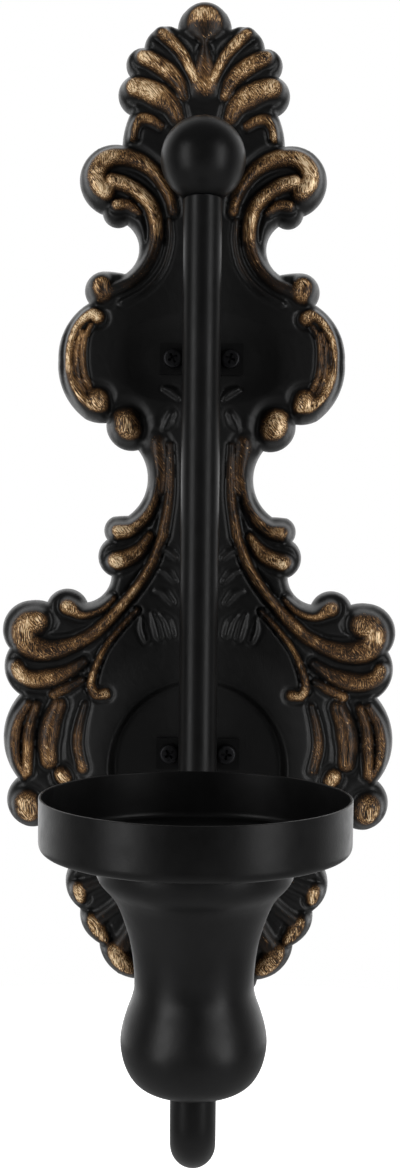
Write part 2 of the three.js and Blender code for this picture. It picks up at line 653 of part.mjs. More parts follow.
// ---- Brackets, screws and nuts ----
const BRACKET_HEIGHT = 11;
const FOOT_END = 14.6;
const RISER_HALF = 5.2; // outside of each riser

// A hat-shaped strap: two feet on the plate, two risers and a saddle the tube lies in.
function bracketGeometry() {
  const saddleR = STEM_R + BRAZING;
  const lift = Math.asin(RISER_HALF / (saddleR + BRACKET_STOCK));
  const innerLift = Math.asin((RISER_HALF - BRACKET_STOCK) / (saddleR + BRACKET_STOCK));
  const crown = saddleR + BRACKET_STOCK;
  const foot = -FLOOR - BRACKET_STOCK;
  const arc = (radius, from, to, steps) =>
    Array.from({ length: steps + 1 }, (_, i) => {
      const angle = from + ((to - from) * i) / steps;
      return [radius * Math.sin(angle), STEM_Y + radius * Math.cos(angle)];
    });
  const profile = [
    [-FOOT_END, -FLOOR],
    [-RISER_HALF + BRACKET_STOCK, -FLOOR],
    ...arc(crown, -innerLift, innerLift, 4),
    [RISER_HALF - BRACKET_STOCK, -FLOOR],
    [FOOT_END, -FLOOR],
    [FOOT_END, foot],
    [RISER_HALF, foot],
    ...arc(saddleR, lift, -lift, 8),
    [-RISER_HALF, foot],
    [-FOOT_END, foot],
  ];
  const section = new THREE.Shape(profile.map(([x, y]) => new THREE.Vector2(x, y)));
  const strap = new THREE.ExtrudeGeometry(section, { depth: BRACKET_HEIGHT, steps: 1, bevelEnabled: false })
    .translate(0, 0, -BRACKET_HEIGHT / 2);
  const holes = [-SCREW_X, SCREW_X].map((x) => barY(SCREW_R + 0.25, foot - 2, 0, 16).translate(x, 0, 0));
  return cut(strap, holes);
}

const HEAD = { radius: 3.4, height: 2.2, crossLong: 3.8, crossWide: 0.9, crossDepth: 1.2 };

// A pan-head machine screw with a cross recess, pointing into the wall; its head sits on the bracket.
function screwGeometry() {
  const seat = -FLOOR - BRACKET_STOCK;
  const length = SCREW_TIP_Y - seat;
  const body = turned([
    [0, 0],
    [SCREW_R - 0.5, 0],
    [SCREW_R, 0.5],
    [SCREW_R, length],
    [HEAD.radius, length],
    [HEAD.radius, length + 1],
    [HEAD.radius - 0.7, length + 1.9],
    [HEAD.radius - 2.2, length + HEAD.height],
    [0, length + HEAD.height],
  ], 18);
  const slot = (turn) =>
    new THREE.BoxGeometry(HEAD.crossLong, HEAD.crossWide, 2 * HEAD.crossDepth)
      .rotateZ(turn)
      .translate(0, 0, length + HEAD.height);
  return cut(body, [slot(0), slot(Math.PI / 2)]).rotateX(Math.PI / 2).translate(0, SCREW_TIP_Y, 0);
}

function nutGeometry(frontY) {
  const body = new THREE.CylinderGeometry(NUT_FLATS / Math.sqrt(3), NUT_FLATS / Math.sqrt(3), NUT_THICK, 6)
    .translate(0, frontY + NUT_THICK / 2, 0);
  return cut(body, [barY(SCREW_R + 0.1, frontY - 1, frontY + NUT_THICK + 1, 18)]);
}

// ---- Assembly ----
const sconce = new THREE.Group();
sconce.name = "wall_sconce";
const drawing = new THREE.Group();
drawing.position.z = -ORIGIN_Z;
sconce.add(drawing);

function place(name, geometry, material, x = 0, y = 0, z = 0, parent = drawing) {
  const mesh = new THREE.Mesh(geometry, material);
  mesh.name = name;
  mesh.position.set(x, y, z);
  parent.add(mesh);
}

place("backplate", backplateGeometry(), antiqueGilt);
place("hanger_strap", hangerGeometry(), plated);
place("stem_tube", stemGeometry(), blackPaint);

for (const [side, z] of [["upper", UPPER_FIXING_Z], ["lower", LOWER_FIXING_Z]]) {
  const sheetBack = -FLOOR + SHEET + (side === "upper" ? HANGER_STOCK : 0);
  place(`${side}_bracket`, bracketGeometry(), blackPaint, 0, 0, z);
  for (const [hand, x] of [["left", -SCREW_X], ["right", SCREW_X]]) {
    place(`${side}_${hand}_screw`, screwGeometry(), blackened, x, 0, z);
    place(`${side}_${hand}_nut`, nutGeometry(sheetBack), plated, x, 0, z);
  }
}

const finial = new THREE.Group();
finial.position.set(0, STEM_Y, 0);
drawing.add(finial);
const finialBush = bushGeometry(FINIAL_BUSH_LENGTH, BUSH_R + 0.6, FINIAL_FLANGE, STUD_R + 0.2);
place("finial_bush", finialBush, blackened, 0, 0, STEM_TOP_Z, finial);
const studBar = barZ(STUD_R, -STUD_IN_BUSH, STUD_IN_BALL, 20);
place("finial_stud", studBar, plated, 0, 0, STEM_TOP_Z + FINIAL_FLANGE, finial);
place("finial_ball", ballGeometry(), blackPaint, 0, 0, FINIAL_Z, finial);

const cup = new THREE.Group();
cup.position.set(0, CUP_Y, 0);
drawing.add(cup);
const legBush = bushGeometry(LEG_BUSH_LENGTH, STEM_R - 0.1, LEG_FLANGE, BOLT_R + 0.2);
place("leg_bush", legBush, blackened, 0, 0, LEG_TOP_Z, cup);
place("cup_vase", vaseGeometry(), blackPaint, 0, 0, 0, cup);
place("candle_dish", dishGeometry(), blackPaint, 0, 0, 0, cup);
place("dish_washer", washerGeometry(), blackened, 0, 0, 0, cup);
place("cup_bolt", boltGeometry(), blackened, 0, 0, 0, cup);

export default sconce;
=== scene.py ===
"""Looks of a wall sconce candle holder: black painted metal, with a stamped backplate dry-brushed in gold."""

import json
import math

import bmesh
import bpy
import numpy as np
from mathutils import Matrix, Vector
from mathutils.geometry import delaunay_2d_cdt


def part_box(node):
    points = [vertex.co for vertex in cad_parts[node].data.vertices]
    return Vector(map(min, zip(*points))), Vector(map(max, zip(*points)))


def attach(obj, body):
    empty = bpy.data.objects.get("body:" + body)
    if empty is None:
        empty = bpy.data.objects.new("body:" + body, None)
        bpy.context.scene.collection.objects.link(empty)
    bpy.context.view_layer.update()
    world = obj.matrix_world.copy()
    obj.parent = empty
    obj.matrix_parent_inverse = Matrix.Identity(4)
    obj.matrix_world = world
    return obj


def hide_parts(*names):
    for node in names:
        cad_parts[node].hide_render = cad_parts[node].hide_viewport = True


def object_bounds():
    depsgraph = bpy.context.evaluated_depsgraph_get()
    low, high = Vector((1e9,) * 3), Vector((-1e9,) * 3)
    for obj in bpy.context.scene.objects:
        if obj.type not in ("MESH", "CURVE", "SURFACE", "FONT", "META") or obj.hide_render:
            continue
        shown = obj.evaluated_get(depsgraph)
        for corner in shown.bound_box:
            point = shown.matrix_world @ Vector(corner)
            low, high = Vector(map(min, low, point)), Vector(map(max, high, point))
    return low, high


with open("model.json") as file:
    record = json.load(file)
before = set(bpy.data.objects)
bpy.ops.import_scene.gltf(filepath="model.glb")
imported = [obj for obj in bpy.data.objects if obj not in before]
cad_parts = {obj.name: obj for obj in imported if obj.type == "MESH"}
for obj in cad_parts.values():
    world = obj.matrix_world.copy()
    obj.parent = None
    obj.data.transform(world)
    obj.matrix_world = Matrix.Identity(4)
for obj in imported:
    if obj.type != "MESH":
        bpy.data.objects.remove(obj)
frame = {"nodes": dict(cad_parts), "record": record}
cad_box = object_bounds()
MM = 0.001
SHARP = math.radians(38)  # a steeper edge than this is shaded sharp

# ---- Datum: drawings are in millimetres from the upper fixing on the wall plane ----
PLATE_TOP = 125.0
plate_low, plate_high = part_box("backplate")
DATUM = Vector(((plate_low.x + plate_high.x) / 2, plate_high.y, plate_high.z - PLATE_TOP * MM))


def place(x, y, z):
    """A drawing point in millimetres as a row-frame point in metres."""
    return DATUM + Vector((x, y, z)) * MM


# ---- Backplate drawing: heights are above the wall ----
SHEET = 1.2
FLANGE = 0.3  # the edge that lies on the wall
SHOULDER = 3.9  # round rise from the flange to the field
FIELD = 7.6
FLOOR = 6.0  # the two floors that carry the brackets
FIXING_Z = (0.0, -138.5)
SCREW_X = 10.0
SCREW_HOLE_R = 2.25
RECESS_Z, RECESS_R, RECESS_WALL = -143.5, 32.0, 3.2  # round floor behind the lower bracket
RING_RISE, RING_REACH = 1.6, 16.0  # the field swells towards the recess
BASIN_HALF = (38.0, 19.5)  # oval floor behind the upper bracket: half width and half height
BASIN_FLAT = 0.5  # inner share of the oval that is flat
BASIN_LIP = 0.4

# Half outline from the crest down; each row is one arc: through x, z, then to x, z.
OUTLINE_START = (0.0, PLATE_TOP)
OUTLINE_ARCS = [
    (6.6, 122.4, 9.5, 115.9),
    (18.4, 114.8, 21.2, 109.2),
    (27.3, 104.8, 26, 99.4),
    (30.2, 92.6, 26, 86.2),
    (27.9, 80.6, 28.6, 75.4),
    (43.5, 64, 35.4, 51.2),
    (31.8, 46.9, 26.8, 47.6),
    (22.6, 41, 27.3, 30.4),
    (31, 31, 34.5, 31.2),
    (40.6, 27.6, 40, 20),
    (48.4, 10.8, 50.7, 0),
    (48.3, -12.2, 41, -20.8),
    (37.4, -22, 33.5, -22.1),
    (31, -29.2, 22.2, -31.6),
    (18.7, -42, 25.5, -54.9),
    (28.2, -55, 30.8, -55.3),
    (33.6, -58.2, 32.9, -63.4),
    (36, -69, 31.3, -76.4),
    (33.4, -82, 39.8, -85.8),
    (47.3, -81, 54, -85.8),
    (57, -85.2, 60, -85.3),
    (69.2, -92.2, 67.4, -102.4),
    (69.1, -109.6, 63.7, -118.8),
    (69.3, -133.6, 64.2, -148.6),
    (67.9, -157.6, 60.4, -166),
    (56.4, -165.8, 53, -164),
    (46.8, -168.6, 43.4, -177),
    (46.8, -186.2, 41.5, -195.4),
    (40.6, -201.6, 34.6, -207.6),
    (31.9, -214.8, 22, -220.4),
    (17.6, -227.6, 8.5, -230.4),
    (5.4, -234.8, 0, -236.4),
]
# Raised work of the right half. Each row: half widths at the start, middle and end; crest above the
# wall at the start and end; gold at the start and end (0 to 1), which also paints a highlight on
# the brighter crests and tips; then the curve's points x, z.
RAISED_WORK = [
    # crest and palmette
    ((7.6, 7.0, 1.4), (10.6, 8.8), (0.4, 0.2), (0, 117.6, 0, 114.2, 0, 109)),
    ((3.4, 3.1, 2.2), (8.6, 8.2), (1.0, 0.8), (0, 118.2, 2.8, 118, 5.4, 116.4)),
    ((1.4, 3.6, 5.4), (8.8, 8.6), (0.15, 0.6), (0, 109, 0, 102, 0, 95.5)),
    ((2.6, 2.3, 1.8), (10.4, 8.8), (0.95, 0.85),
     (15.4, 113.2, 11.7, 109.8, 7.8, 105.6, 5.4, 101.4, 3.2, 96.5)),
    ((3.2, 3.5, 2.0), (10.4, 8.8), (0.95, 0.6), (21, 104.3, 17, 102.4, 12.4, 99.2, 9, 95.4, 7.2, 91)),
    ((3.8, 4.7, 2.8), (10.8, 9.0), (1.0, 0.6), (24.8, 94, 20.4, 93, 15.3, 90.7, 11.5, 87.6, 9.4, 83.6)),
    ((1.9, 2.2, 1.8), (9.6, 8.8), (0.95, 0.5), (24.7, 76.6, 24.2, 80, 22.2, 82.8, 18.8, 82.8, 15, 80.6)),
    # upper scroll
    ((1.8, 3.3, 4.2), (9.0, 11.2), (0.6, 1.0),
     (10.6, 51, 11.4, 55, 13.8, 60.2, 18, 65.4, 23.9, 69, 30.2, 70, 35, 68, 37.4, 64, 36.6, 60, 34.6, 58)),
    ((3.0, 3.0, 2.6), (11.0, 9.6), (1.0, 0.75),
     (31.6, 61.4, 27, 60.2, 21.8, 57, 18, 52.6, 16.4, 47, 16.2, 42)),
    ((2.6, 2.8, 2.6), (9.6, 9.4), (0.4, 0.12), (16.2, 42, 17.6, 36.4, 21, 30.8, 26.2, 26, 31.6, 23.4)),
    ((2.2, 2.1, 1.4), (9.8, 8.8), (0.95, 0.45), (30, 53.2, 26.2, 53.4, 22.2, 50.6)),
    ((1.3, 1.5, 1.5), (8.8, 8.6), (0.2, 0.03), (11.6, 48, 11.4, 40, 14, 31, 20, 24, 28, 19.4)),
    ((4.4, 4.6, 4.4), (10.6, 10.6), (0.9, 0.8), (36.2, 26.8, 35.6, 25, 35.2, 23.2)),
    # middle scroll
    ((2.7, 1.7, 1.6), (10.2, 10.4), (1.0, 0.95),
     (36.4, 14.2, 39, 15.4, 42.4, 12.8, 45.1, 8.6, 46.5, 3, 46.6, -2)),
    ((1.6, 2.5, 3.8), (10.4, 10.8), (0.95, 1.0), (46.6, -2, 46, -6.4, 44.2, -11, 41.2, -15.4, 37.6, -18.4)),
    ((1.1, 1.5, 1.3), (9.2, 9.2), (0.6, 0.5), (38.8, 11.4, 41, 6.4, 41.6, 0, 40.8, -6, 39, -10.4)),
    ((1.4, 2.0, 1.8), (8.6, 8.6), (0.5, 0.45), (41.8, 9, 43.8, 4, 44, -2, 43, -8, 41, -12)),
    ((4.2, 4.3, 4.2), (11.0, 11.0), (1.0, 1.0), (36.4, -14.4, 36.3, -15.4, 36, -16.2)),
    ((5.6, 5.8, 5.4), (11.4, 11.4), (1.0, 1.0), (26.4, -22.4, 26, -23.4, 25.6, -24.4)),
    # neck
    ((1.4, 1.8, 2.1), (9.0, 9.8), (0.2, 0.6), (10.8, -30, 10.6, -39, 11, -49, 13, -61.6)),
    ((3.4, 4.0, 3.8), (8.8, 8.8), (0.3, 0.42), (15, -29.5, 14.2, -38, 14.8, -45)),
    ((1.8, 1.9, 2.9), (9.8, 10.4), (0.62, 0.7),
     (13, -61.6, 17, -72, 22.5, -80.7, 29.6, -89.3, 37.3, -96.5, 44, -100.4)),
    ((2.9, 4.6, 5.1), (10.4, 11.4), (0.7, 1.0),
     (44, -100.4, 51, -102.4, 57, -102, 61, -99.4, 61.8, -95.6, 60, -93, 57.6, -92.4)),
    ((1.4, 2.2, 3.3), (9.2, 10.8), (0.5, 1.0), (15.4, -42, 16.6, -50, 20, -56, 24.6, -59.6, 28.8, -60.4)),
    ((1.7, 3.0, 3.5), (9.2, 10.8), (0.6, 1.0), (17.6, -62, 21, -66.8, 25, -69.6, 29.4, -71)),
    # shoulder and wing
    ((1.6, 2.4, 3.2), (9.0, 10.4), (0.45, 1.0), (30.5, -84, 35, -87.6, 40.6, -89, 46.2, -87)),
    ((2.0, 3.8, 2.9), (9.4, 10.6), (0.25, 1.0),
     (40.6, -106.4, 46.4, -110.2, 52.5, -112.4, 58.5, -112.8, 62.6, -111, 64.2, -108.6)),
    ((1.5, 2.1, 2.0), (9.4, 9.4), (0.35, 0.7), (41, -112.8, 45.6, -115.4, 51, -118)),
    ((1.0, 1.25, 2.0), (9.4, 10.2), (0.35, 0.95),
     (21.6, -88, 27.6, -94.4, 33, -101.4, 36.2, -108.2, 37.8, -114.2, 36, -117.8, 32.6, -117.6)),
    ((2.0, 2.7, 2.2), (9.8, 9.8), (0.4, 0.62),
     (60, -121.8, 63.4, -127.4, 64.8, -134.8, 64, -142.4, 61.8, -147)),
    ((1.9, 2.4, 2.0), (10.2, 10.2), (0.42, 0.62), (57, -122, 59.4, -130, 60, -138.6, 60, -145.6)),
    ((3.2, 4.2, 3.4), (10.2, 10.0), (0.42, 0.56), (49.2, -121.8, 51.6, -128, 52.8, -135, 52.4, -141.4)),
    ((1.6, 2.1, 2.1), (9.4, 9.6), (0.15, 0.62), (39.8, -121.4, 41.8, -129, 42.4, -136, 40.6, -144)),
    ((3.0, 3.2, 3.0), (10.0, 10.0), (1.0, 0.9), (47.9, -146.2, 47.4, -147, 47, -147.6)),
    ((5.2, 5.5, 5.2), (11.2, 11.2), (1.0, 1.0), (60.4, -156.8, 60, -158, 59.8, -159.2)),
    ((2.0, 3.2, 2.0), (9.0, 8.4), (0.5, 0.2), (50, -158, 40, -163.5, 30, -168)),
    # little dark leaves beside the upright
    ((1.9, 2.4, 1.4), (8.6, 8.2), (0.04, 0.0), (10.4, -19.4, 11.4, -21.4, 13, -24.6)),
    ((1.2, 1.9, 1.1), (8.4, 8.0), (0.03, 0.0), (8, -13.6, 10.4, -11.4, 13, -10.4)),
    ((1.4, 2.0, 1.1), (8.8, 8.2), (0.1, 0.0), (8, -69.6, 10.4, -67.4, 12.6, -66.6)),
    ((1.4, 2.1, 1.1), (8.8, 8.2), (0.04, 0.0), (8.6, -77.6, 11.4, -74.6, 14, -73.8)),
    ((1.4, 2.1, 1.1), (8.8, 8.2), (0.04, 0.0), (9.4, -85.2, 12.4, -81.8, 15.4, -81)),
    ((1.7, 2.1, 1.0), (8.8, 8.2), (0.04, 0.0), (9.6, -96.4, 11, -92.2, 13.4, -89.4)),
    ((1.7, 2.1, 1.0), (8.8, 8.2), (0.04, 0.0), (14, -97.4, 15.2, -92.8, 16.6, -89.2)),
    ((1.5, 1.9, 1.0), (8.8, 8.2), (0.04, 0.0), (18.6, -98.4, 19.8, -94.4, 20, -90.6)),
    # lower palmette
    ((3.2, 2.8, 1.4), (9.2, 8.4), (0.1, 0.0), (39.5, -186.2, 34, -184, 27, -181, 15, -177.6)),
    ((3.0, 3.2, 2.8), (10.8, 10.6), (1.0, 1.0), (41.9, -187, 41.4, -189.8)),
    ((3.2, 3.0, 1.4), (9.2, 8.4), (0.12, 0.0), (34.5, -197.6, 29, -193.4, 23, -187.6, 13, -182)),
    ((2.8, 3.5, 3.0), (10.6, 10.4), (1.0, 1.0), (37.6, -198, 35.2, -201.6, 33.2, -204.6)),
    ((3.8, 3.4, 1.4), (9.4, 8.4), (0.25, 0.0), (27, -207.6, 24, -203.4, 18.6, -195, 10.6, -186)),
    ((3.4, 4.3, 3.6), (10.8, 10.4), (1.0, 0.95), (29.6, -208.8, 26.8, -212.2, 24, -214.8)),
    ((4.4, 3.2, 1.4), (10.0, 8.4), (0.9, 0.05), (16, -222, 13.4, -212, 9.6, -201, 5.6, -190)),
    ((4.4, 3.2, 2.0), (10.0, 8.4), (0.9, 0.05), (0, -228, 0, -214, 0, -198)),
]
DOME_BASE = 5.2  # height that every dome springs from
PUFF = 1.14  # a dome's half width over the drawn one
DOME_POWER = 0.7  # below 1, so a dome is fuller than a parabola
DOME_REACH = 1.8  # half widths that a dome and its crease may cover
CREASE_DEPTH = 1.1
CREASE_MIDDLE, CREASE_WIDTH = 1.08, 0.3  # in half widths from the dome's middle
CREASE_FULL = 3.0  # half width from which a crease has its full depth
PLAIN_CREASE = 0.35  # share of the depth beside work without gold
GOLD_AND_HIGHLIGHT_LOW, GOLD_AND_HIGHLIGHT_HIGH = 0.25, 1.02  # shares of a dome's height between which its gold and its painted crest highlight come in
GOLD_CLEAR = (2.6, 4.0)  # distances from the outline between which the gold comes in


def arc_points(a, b, c, step):
    """Points along the circle from a through b to c, about step apart, without a itself."""
    (ax, az), (bx, bz), (cx, cz) = a, b, c
    d = 2 * (ax * (bz - cz) + bx * (cz - az) + cx * (az - bz))
    sa, sb, sc = ax * ax + az * az, bx * bx + bz * bz, cx * cx + cz * cz
    ox = (sa * (bz - cz) + sb * (cz - az) + sc * (az - bz)) / d
    oz = (sa * (cx - bx) + sb * (ax - cx) + sc * (bx - ax)) / d
    radius = math.hypot(ax - ox, az - oz)
    start, middle, end = (math.atan2(z - oz, x - ox) for x, z in (a, b, c))
    full = 2 * math.pi
    clockwise = (middle - start) % full > (end - start) % full
    sweep = -((start - end) % full) if clockwise else (end - start) % full
    count = max(2, round(abs(sweep) * radius / step))
    turn = start + sweep * np.arange(1, count + 1) / count
    return np.stack([ox + radius * np.cos(turn), oz + radius * np.sin(turn)], axis=1)


def plate_outline(step):
    """The whole outline as a loop of points in millimetres."""
    half = [np.array([OUTLINE_START])]
    at = OUTLINE_START
    for through_x, through_z, to_x, to_z in OUTLINE_ARCS:
        half.append(arc_points(at, (through_x, through_z), (to_x, to_z), step))
        at = (to_x, to_z)
    right = np.concatenate(half)
    left = right[-2:0:-1] * (-1, 1)
    return np.concatenate([right, left])


def smooth_curve(flat, step=0.5):
    """A Catmull-Rom curve through a flat x, z list: close points, and each one's share of the length."""
    knots = np.array(flat, float).reshape(-1, 2)
    padded = np.concatenate([[2 * knots[0] - knots[1]], knots, [2 * knots[-1] - knots[-2]]])
    points = []
    for p0, p1, p2, p3 in zip(padded, padded[1:], padded[2:], padded[3:]):
        count = max(2, round(np.linalg.norm(p2 - p1) / step))
        t = (np.arange(count) / count)[:, None]
        bend = 2 * p0 - 5 * p1 + 4 * p2 - p3
        points.append(0.5 * (2 * p1 + (p2 - p0) * t + bend * t**2 + (3 * p1 - p0 - 3 * p2 + p3) * t**3))
    points.append(knots[-1:])
    points = np.concatenate(points)
    lengths = np.concatenate([[0], np.cumsum(np.linalg.norm(np.diff(points, axis=0), axis=1))])
    return points, lengths / lengths[-1]


def smoothstep(value, low, high):
    """0 up to low, 1 from high on, and a soft S between."""
    t = np.clip((value - low) / (high - low), 0, 1)
    return t * t * (3 - 2 * t)


def inside(points, loop):
    """Which points lie inside the loop."""
    hit = np.zeros(len(points), bool)
    for (ax, az), (bx, bz) in zip(loop, np.roll(loop, -1, axis=0)):
        if az == bz:
            continue
        crosses = (az > points[:, 1]) != (bz > points[:, 1])
        hit ^= crosses & (points[:, 0] < (bx - ax) * (points[:, 1] - az) / (bz - az) + ax)
    return hit


def distance_to(points, loop, batch=64):
    """Distance from each point to the closest point of a dense loop."""
    best = np.full(len(points), np.inf)
    for start in range(0, len(loop), batch):
        gap = points[:, None, :] - loop[None, start : start + batch, :]
        best = np.minimum(best, np.sqrt((gap**2).sum(2).min(1)))
    return best


def plain_height(side, z):
    """Height of the sheet without its raised work: the field, the recess with its ring, and the basin."""
    out = np.hypot(side, z - RECESS_Z) - RECESS_R
    swell = FIELD + RING_RISE * smoothstep(-out, -RING_REACH, 0) * (out > 0)
    recessed = FLOOR + (FIELD + RING_RISE - FLOOR) * smoothstep(out, -RECESS_WALL, 0)
    field = np.where(out < 0, recessed, swell)
    half_width, half_height = BASIN_HALF
    basin = np.hypot(side / half_width, z / half_height)
    dished = FLOOR + (FIELD + BASIN_LIP - FLOOR) * smoothstep(basin, BASIN_FLAT, 1.0)
    return np.where(np.abs(z) < half_height, np.minimum(dished, field), field)


def raised_work(side, z):
    """(height of the domes, share of the crease beside them, gold with painted highlight) at each point."""
    domes, creases, gold = np.zeros((3, len(side)))
    for widths, crests, gold_and_highlights, flat in RAISED_WORK:
        curve, share = smooth_curve(flat)
        reach = max(widths) * DOME_REACH
        low, high = curve.min(0) - reach, curve.max(0) + reach
        near = np.nonzero((side > low[0]) & (side < high[0]) & (z > low[1]) & (z < high[1]))[0]
        gap = np.hypot(side[near, None] - curve[None, :, 0], z[near, None] - curve[None, :, 1])
        along = share[gap.argmin(1)]
        across = gap.min(1) / (PUFF * np.interp(along, (0, 0.5, 1), widths))
        dome = np.clip(1 - across**2, 0, 1) ** DOME_POWER
        height = DOME_BASE + (np.interp(along, (0, 1), crests) - DOME_BASE) * dome
        # gold, and a painted highlight, fullest on the dome's crest
        gold_and_highlight = np.interp(along, (0, 1), gold_and_highlights) * smoothstep(dome, GOLD_AND_HIGHLIGHT_LOW, GOLD_AND_HIGHLIGHT_HIGH)
        depth = min(1, max(widths) / CREASE_FULL) * (PLAIN_CREASE + (1 - PLAIN_CREASE) * max(gold_and_highlights))
        crease = depth * np.exp(-(((across - CREASE_MIDDLE) / CREASE_WIDTH) ** 2))
        for whole, part in ((domes, height), (creases, crease), (gold, gold_and_highlight)):
            whole[near] = np.maximum(whole[near], part)
    return domes, creases, gold


def relief(points, edge):
    """(height above the wall, gold with painted highlight) of the sheet's front at points that lie edge
    inside the outline.
    """
    side, z = np.abs(points[:, 0]), points[:, 1]
    domes, creases, gold = raised_work(side, z)
    height = np.maximum(plain_height(side, z) - CREASE_DEPTH * creases, domes)
    turned_in = np.clip((edge - FLANGE) / SHOULDER, 0, 1)
    rise = np.sqrt(1 - (1 - turned_in) ** 2)
    return SHEET + (height - SHEET) * rise, gold * smoothstep(edge, *GOLD_CLEAR)


# ---- Backplate mesh ----
FRONT_SPACING, QUICK_SPACING, BACK_SPACING = 0.72, 1.2, 2.4
ROW_SHARE = 0.866  # spacing of the grid's rows, over the spacing in a row
MERGE_WITHIN = 1e-6
HOLE_SIDES = 24
EDGE_CLEARANCE = 0.55  # share of the spacing that the grid keeps from each loop
PLATE_SHARP = math.radians(62)


def hex_grid(low, high, step):
    """Points step apart in even triangles over the box from low to high."""
    rows = np.arange(low[1], high[1], step * ROW_SHARE)
    columns = np.arange(low[0], high[0], step)
    x, z = np.meshgrid(columns, rows)
    x[1::2] += step / 2
    return np.stack([x.ravel(), z.ravel()], axis=1)


def sheet_face(loops, step):
    """Points and triangles that fill the outer loop, less the loops inside it."""
    outer = loops[0]
    grid = hex_grid(outer.min(0), outer.max(0), step)
    grid = grid[inside(grid, outer)]
    clear = distance_to(grid, outer) > EDGE_CLEARANCE * step
    for hole in loops[1:]:
        clear &= ~inside(grid, hole) & (distance_to(grid, hole) > EDGE_CLEARANCE * step)
    edges = []
    first = 0
    for loop in loops:
        count = len(loop)
        edges += [(first + i, first + (i + 1) % count) for i in range(count)]
        first += count
    points = np.concatenate([*loops, grid[clear]])
    made = delaunay_2d_cdt([Vector(p) for p in points.tolist()], edges, [], 1, MERGE_WITHIN)
    triangles = np.array([f for f in made[2] if len(f) == 3])
    points = np.array([tuple(v) for v in made[0]])
    middles = points[triangles].mean(1)
    keep = inside(middles, outer)
    for hole in loops[1:]:
        keep &= ~inside(middles, hole)
    return points, triangles[keep]


def smooth(mesh, angle=SHARP):
    """Shades the mesh smooth, with edges steeper than the angle left sharp."""
    mesh.shade_smooth()
    mesh.set_sharp_from_angle(angle=angle)


def add_piece(name, mesh, body, replaced, slot):
    """A visible piece in its slot's material, which stands for a CAD node and moves with a body."""
    piece = bpy.data.objects.new(name, mesh)
    bpy.context.scene.collection.objects.link(piece)
    mesh.materials.append(BY_SLOT[slot])
    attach(piece, body)
    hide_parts(replaced)


def circle(x, z, radius, count):
    """A loop of points around x, z."""
    turn = np.arange(count) * 2 * math.pi / count
    return np.stack([x + radius * np.cos(turn), z + radius * np.sin(turn)], axis=1)


def wound(points, triangles, anticlockwise):
    """The triangles as lists, each turned the way that is asked for."""
    corners = points[triangles]
    u, v = corners[:, 1] - corners[:, 0], corners[:, 2] - corners[:, 0]
    turns = (u[:, 0] * v[:, 1] - u[:, 1] * v[:, 0]) > 0
    return [f if turn == anticlockwise else f[::-1] for f, turn in zip(triangles.tolist(), turns.tolist())]


def make_backplate():
    """The stamped sheet: a fine front that carries its gold and painted highlight as "gilt", a coarser back,
    and the edges.
    """
    front_spacing = FRONT_SPACING
    outline = plate_outline(front_spacing)
    holes = [circle(hand * SCREW_X, z, SCREW_HOLE_R, HOLE_SIDES) for z in FIXING_Z for hand in (1, -1)]
    loops = [outline, *holes]
    verts, faces, gilt_and_highlight, firsts = [], [], [], []
    for is_back, spacing in ((False, front_spacing), (True, BACK_SPACING)):
        points, triangles = sheet_face(loops, spacing)
        height, gold = relief(points, distance_to(points, outline))
        first = len(verts)
        firsts.append(first)
        depth = SHEET - height if is_back else -height
        verts += [place(x, y, z) for (x, z), y in zip(points.tolist(), depth.tolist())]
        # the front's gilt is gold with a painted highlight on crests and tips
        gilt_and_highlight += [0.0] * len(points) if is_back else gold.tolist()
        faces += [[first + i for i in face] for face in wound(points, triangles, not is_back)]
    front, back = firsts
    for index, loop in enumerate(loops):
        count = len(loop)
        for i in range(count):
            a, b = i, (i + 1) % count
            quad = [front + a, front + b, back + b, back + a]
            faces.append(quad if index == 0 else quad[::-1])
        front += count
        back += count
    mesh = bpy.data.meshes.new("backplate_relief")
    mesh.from_pydata(verts, [], faces)
    mesh.update()
    mesh.attributes.new("gilt_and_highlight", "FLOAT", "POINT").data.foreach_set("value", np.array(gilt_and_highlight, np.float32))
    smooth(mesh, PLATE_SHARP)
    add_piece("backplate_relief", mesh, "stand", "backplate", "antique_gilt")


# ---- Turned and bent shapes ----
ON_AXIS = 1e-7  # a smaller radius makes a point, not a ring
CORNER_SHARE = 0.49  # of each side, the most that a rounding may take
NEARLY_STRAIGHT = math.pi - 0.02  # a flatter corner stays as it is


def finished(name, bm):
    """The mesh of a bmesh, with its faces outwards and its soft edges smooth."""
    bmesh.ops.recalc_face_normals(bm, faces=bm.faces)
    mesh = bpy.data.meshes.new(name)
    bm.to_mesh(mesh)
    bm.free()
    smooth(mesh)
    return mesh


def lathe(name, profile, centre, sides):
    """A closed solid of revolution about Z through centre; profile is a loop of radius, height in metres."""
    bm = bmesh.new()
    rings = []
    for radius, height in profile:
        turns = [2 * math.pi * i / sides for i in range(sides)] if radius > ON_AXIS else [0]
        rings.append([
            bm.verts.new(centre + Vector((radius * math.cos(turn), radius * math.sin(turn), height)))
            for turn in turns
        ])
    for a, b in zip(rings, rings[1:] + rings[:1]):
        if len(a) == 1 and len(b) == 1:
            continue
        for i in range(sides):
            j = (i + 1) % sides
            corners = [a[i % len(a)], a[j % len(a)], b[j % len(b)], b[i % len(b)]]
            bm.faces.new(list(dict.fromkeys(corners)))
    return finished(name, bm)


def rounded(points, steps):
    """Rounds each corner of a closed loop; a point is x, z and its corner's radius."""
    out = []
    for i, (*point, radius) in enumerate(points):
        here = Vector(point)
        before = Vector(points[i - 1][:2]) - here
        after = Vector(points[(i + 1) % len(points)][:2]) - here
        opening = before.angle(after)
        if radius <= 0 or opening > NEARLY_STRAIGHT:
            out.append(tuple(here))
            continue
        longest = CORNER_SHARE * min(before.length, after.length)
        back = min(radius / math.tan(opening / 2), longest)
        start, end = here + before.normalized() * back, here + after.normalized() * back
        for k in range(steps + 1):
            t = k / steps
            out.append(tuple(start.lerp(here, t).lerp(here.lerp(end, t), t)))
    return out


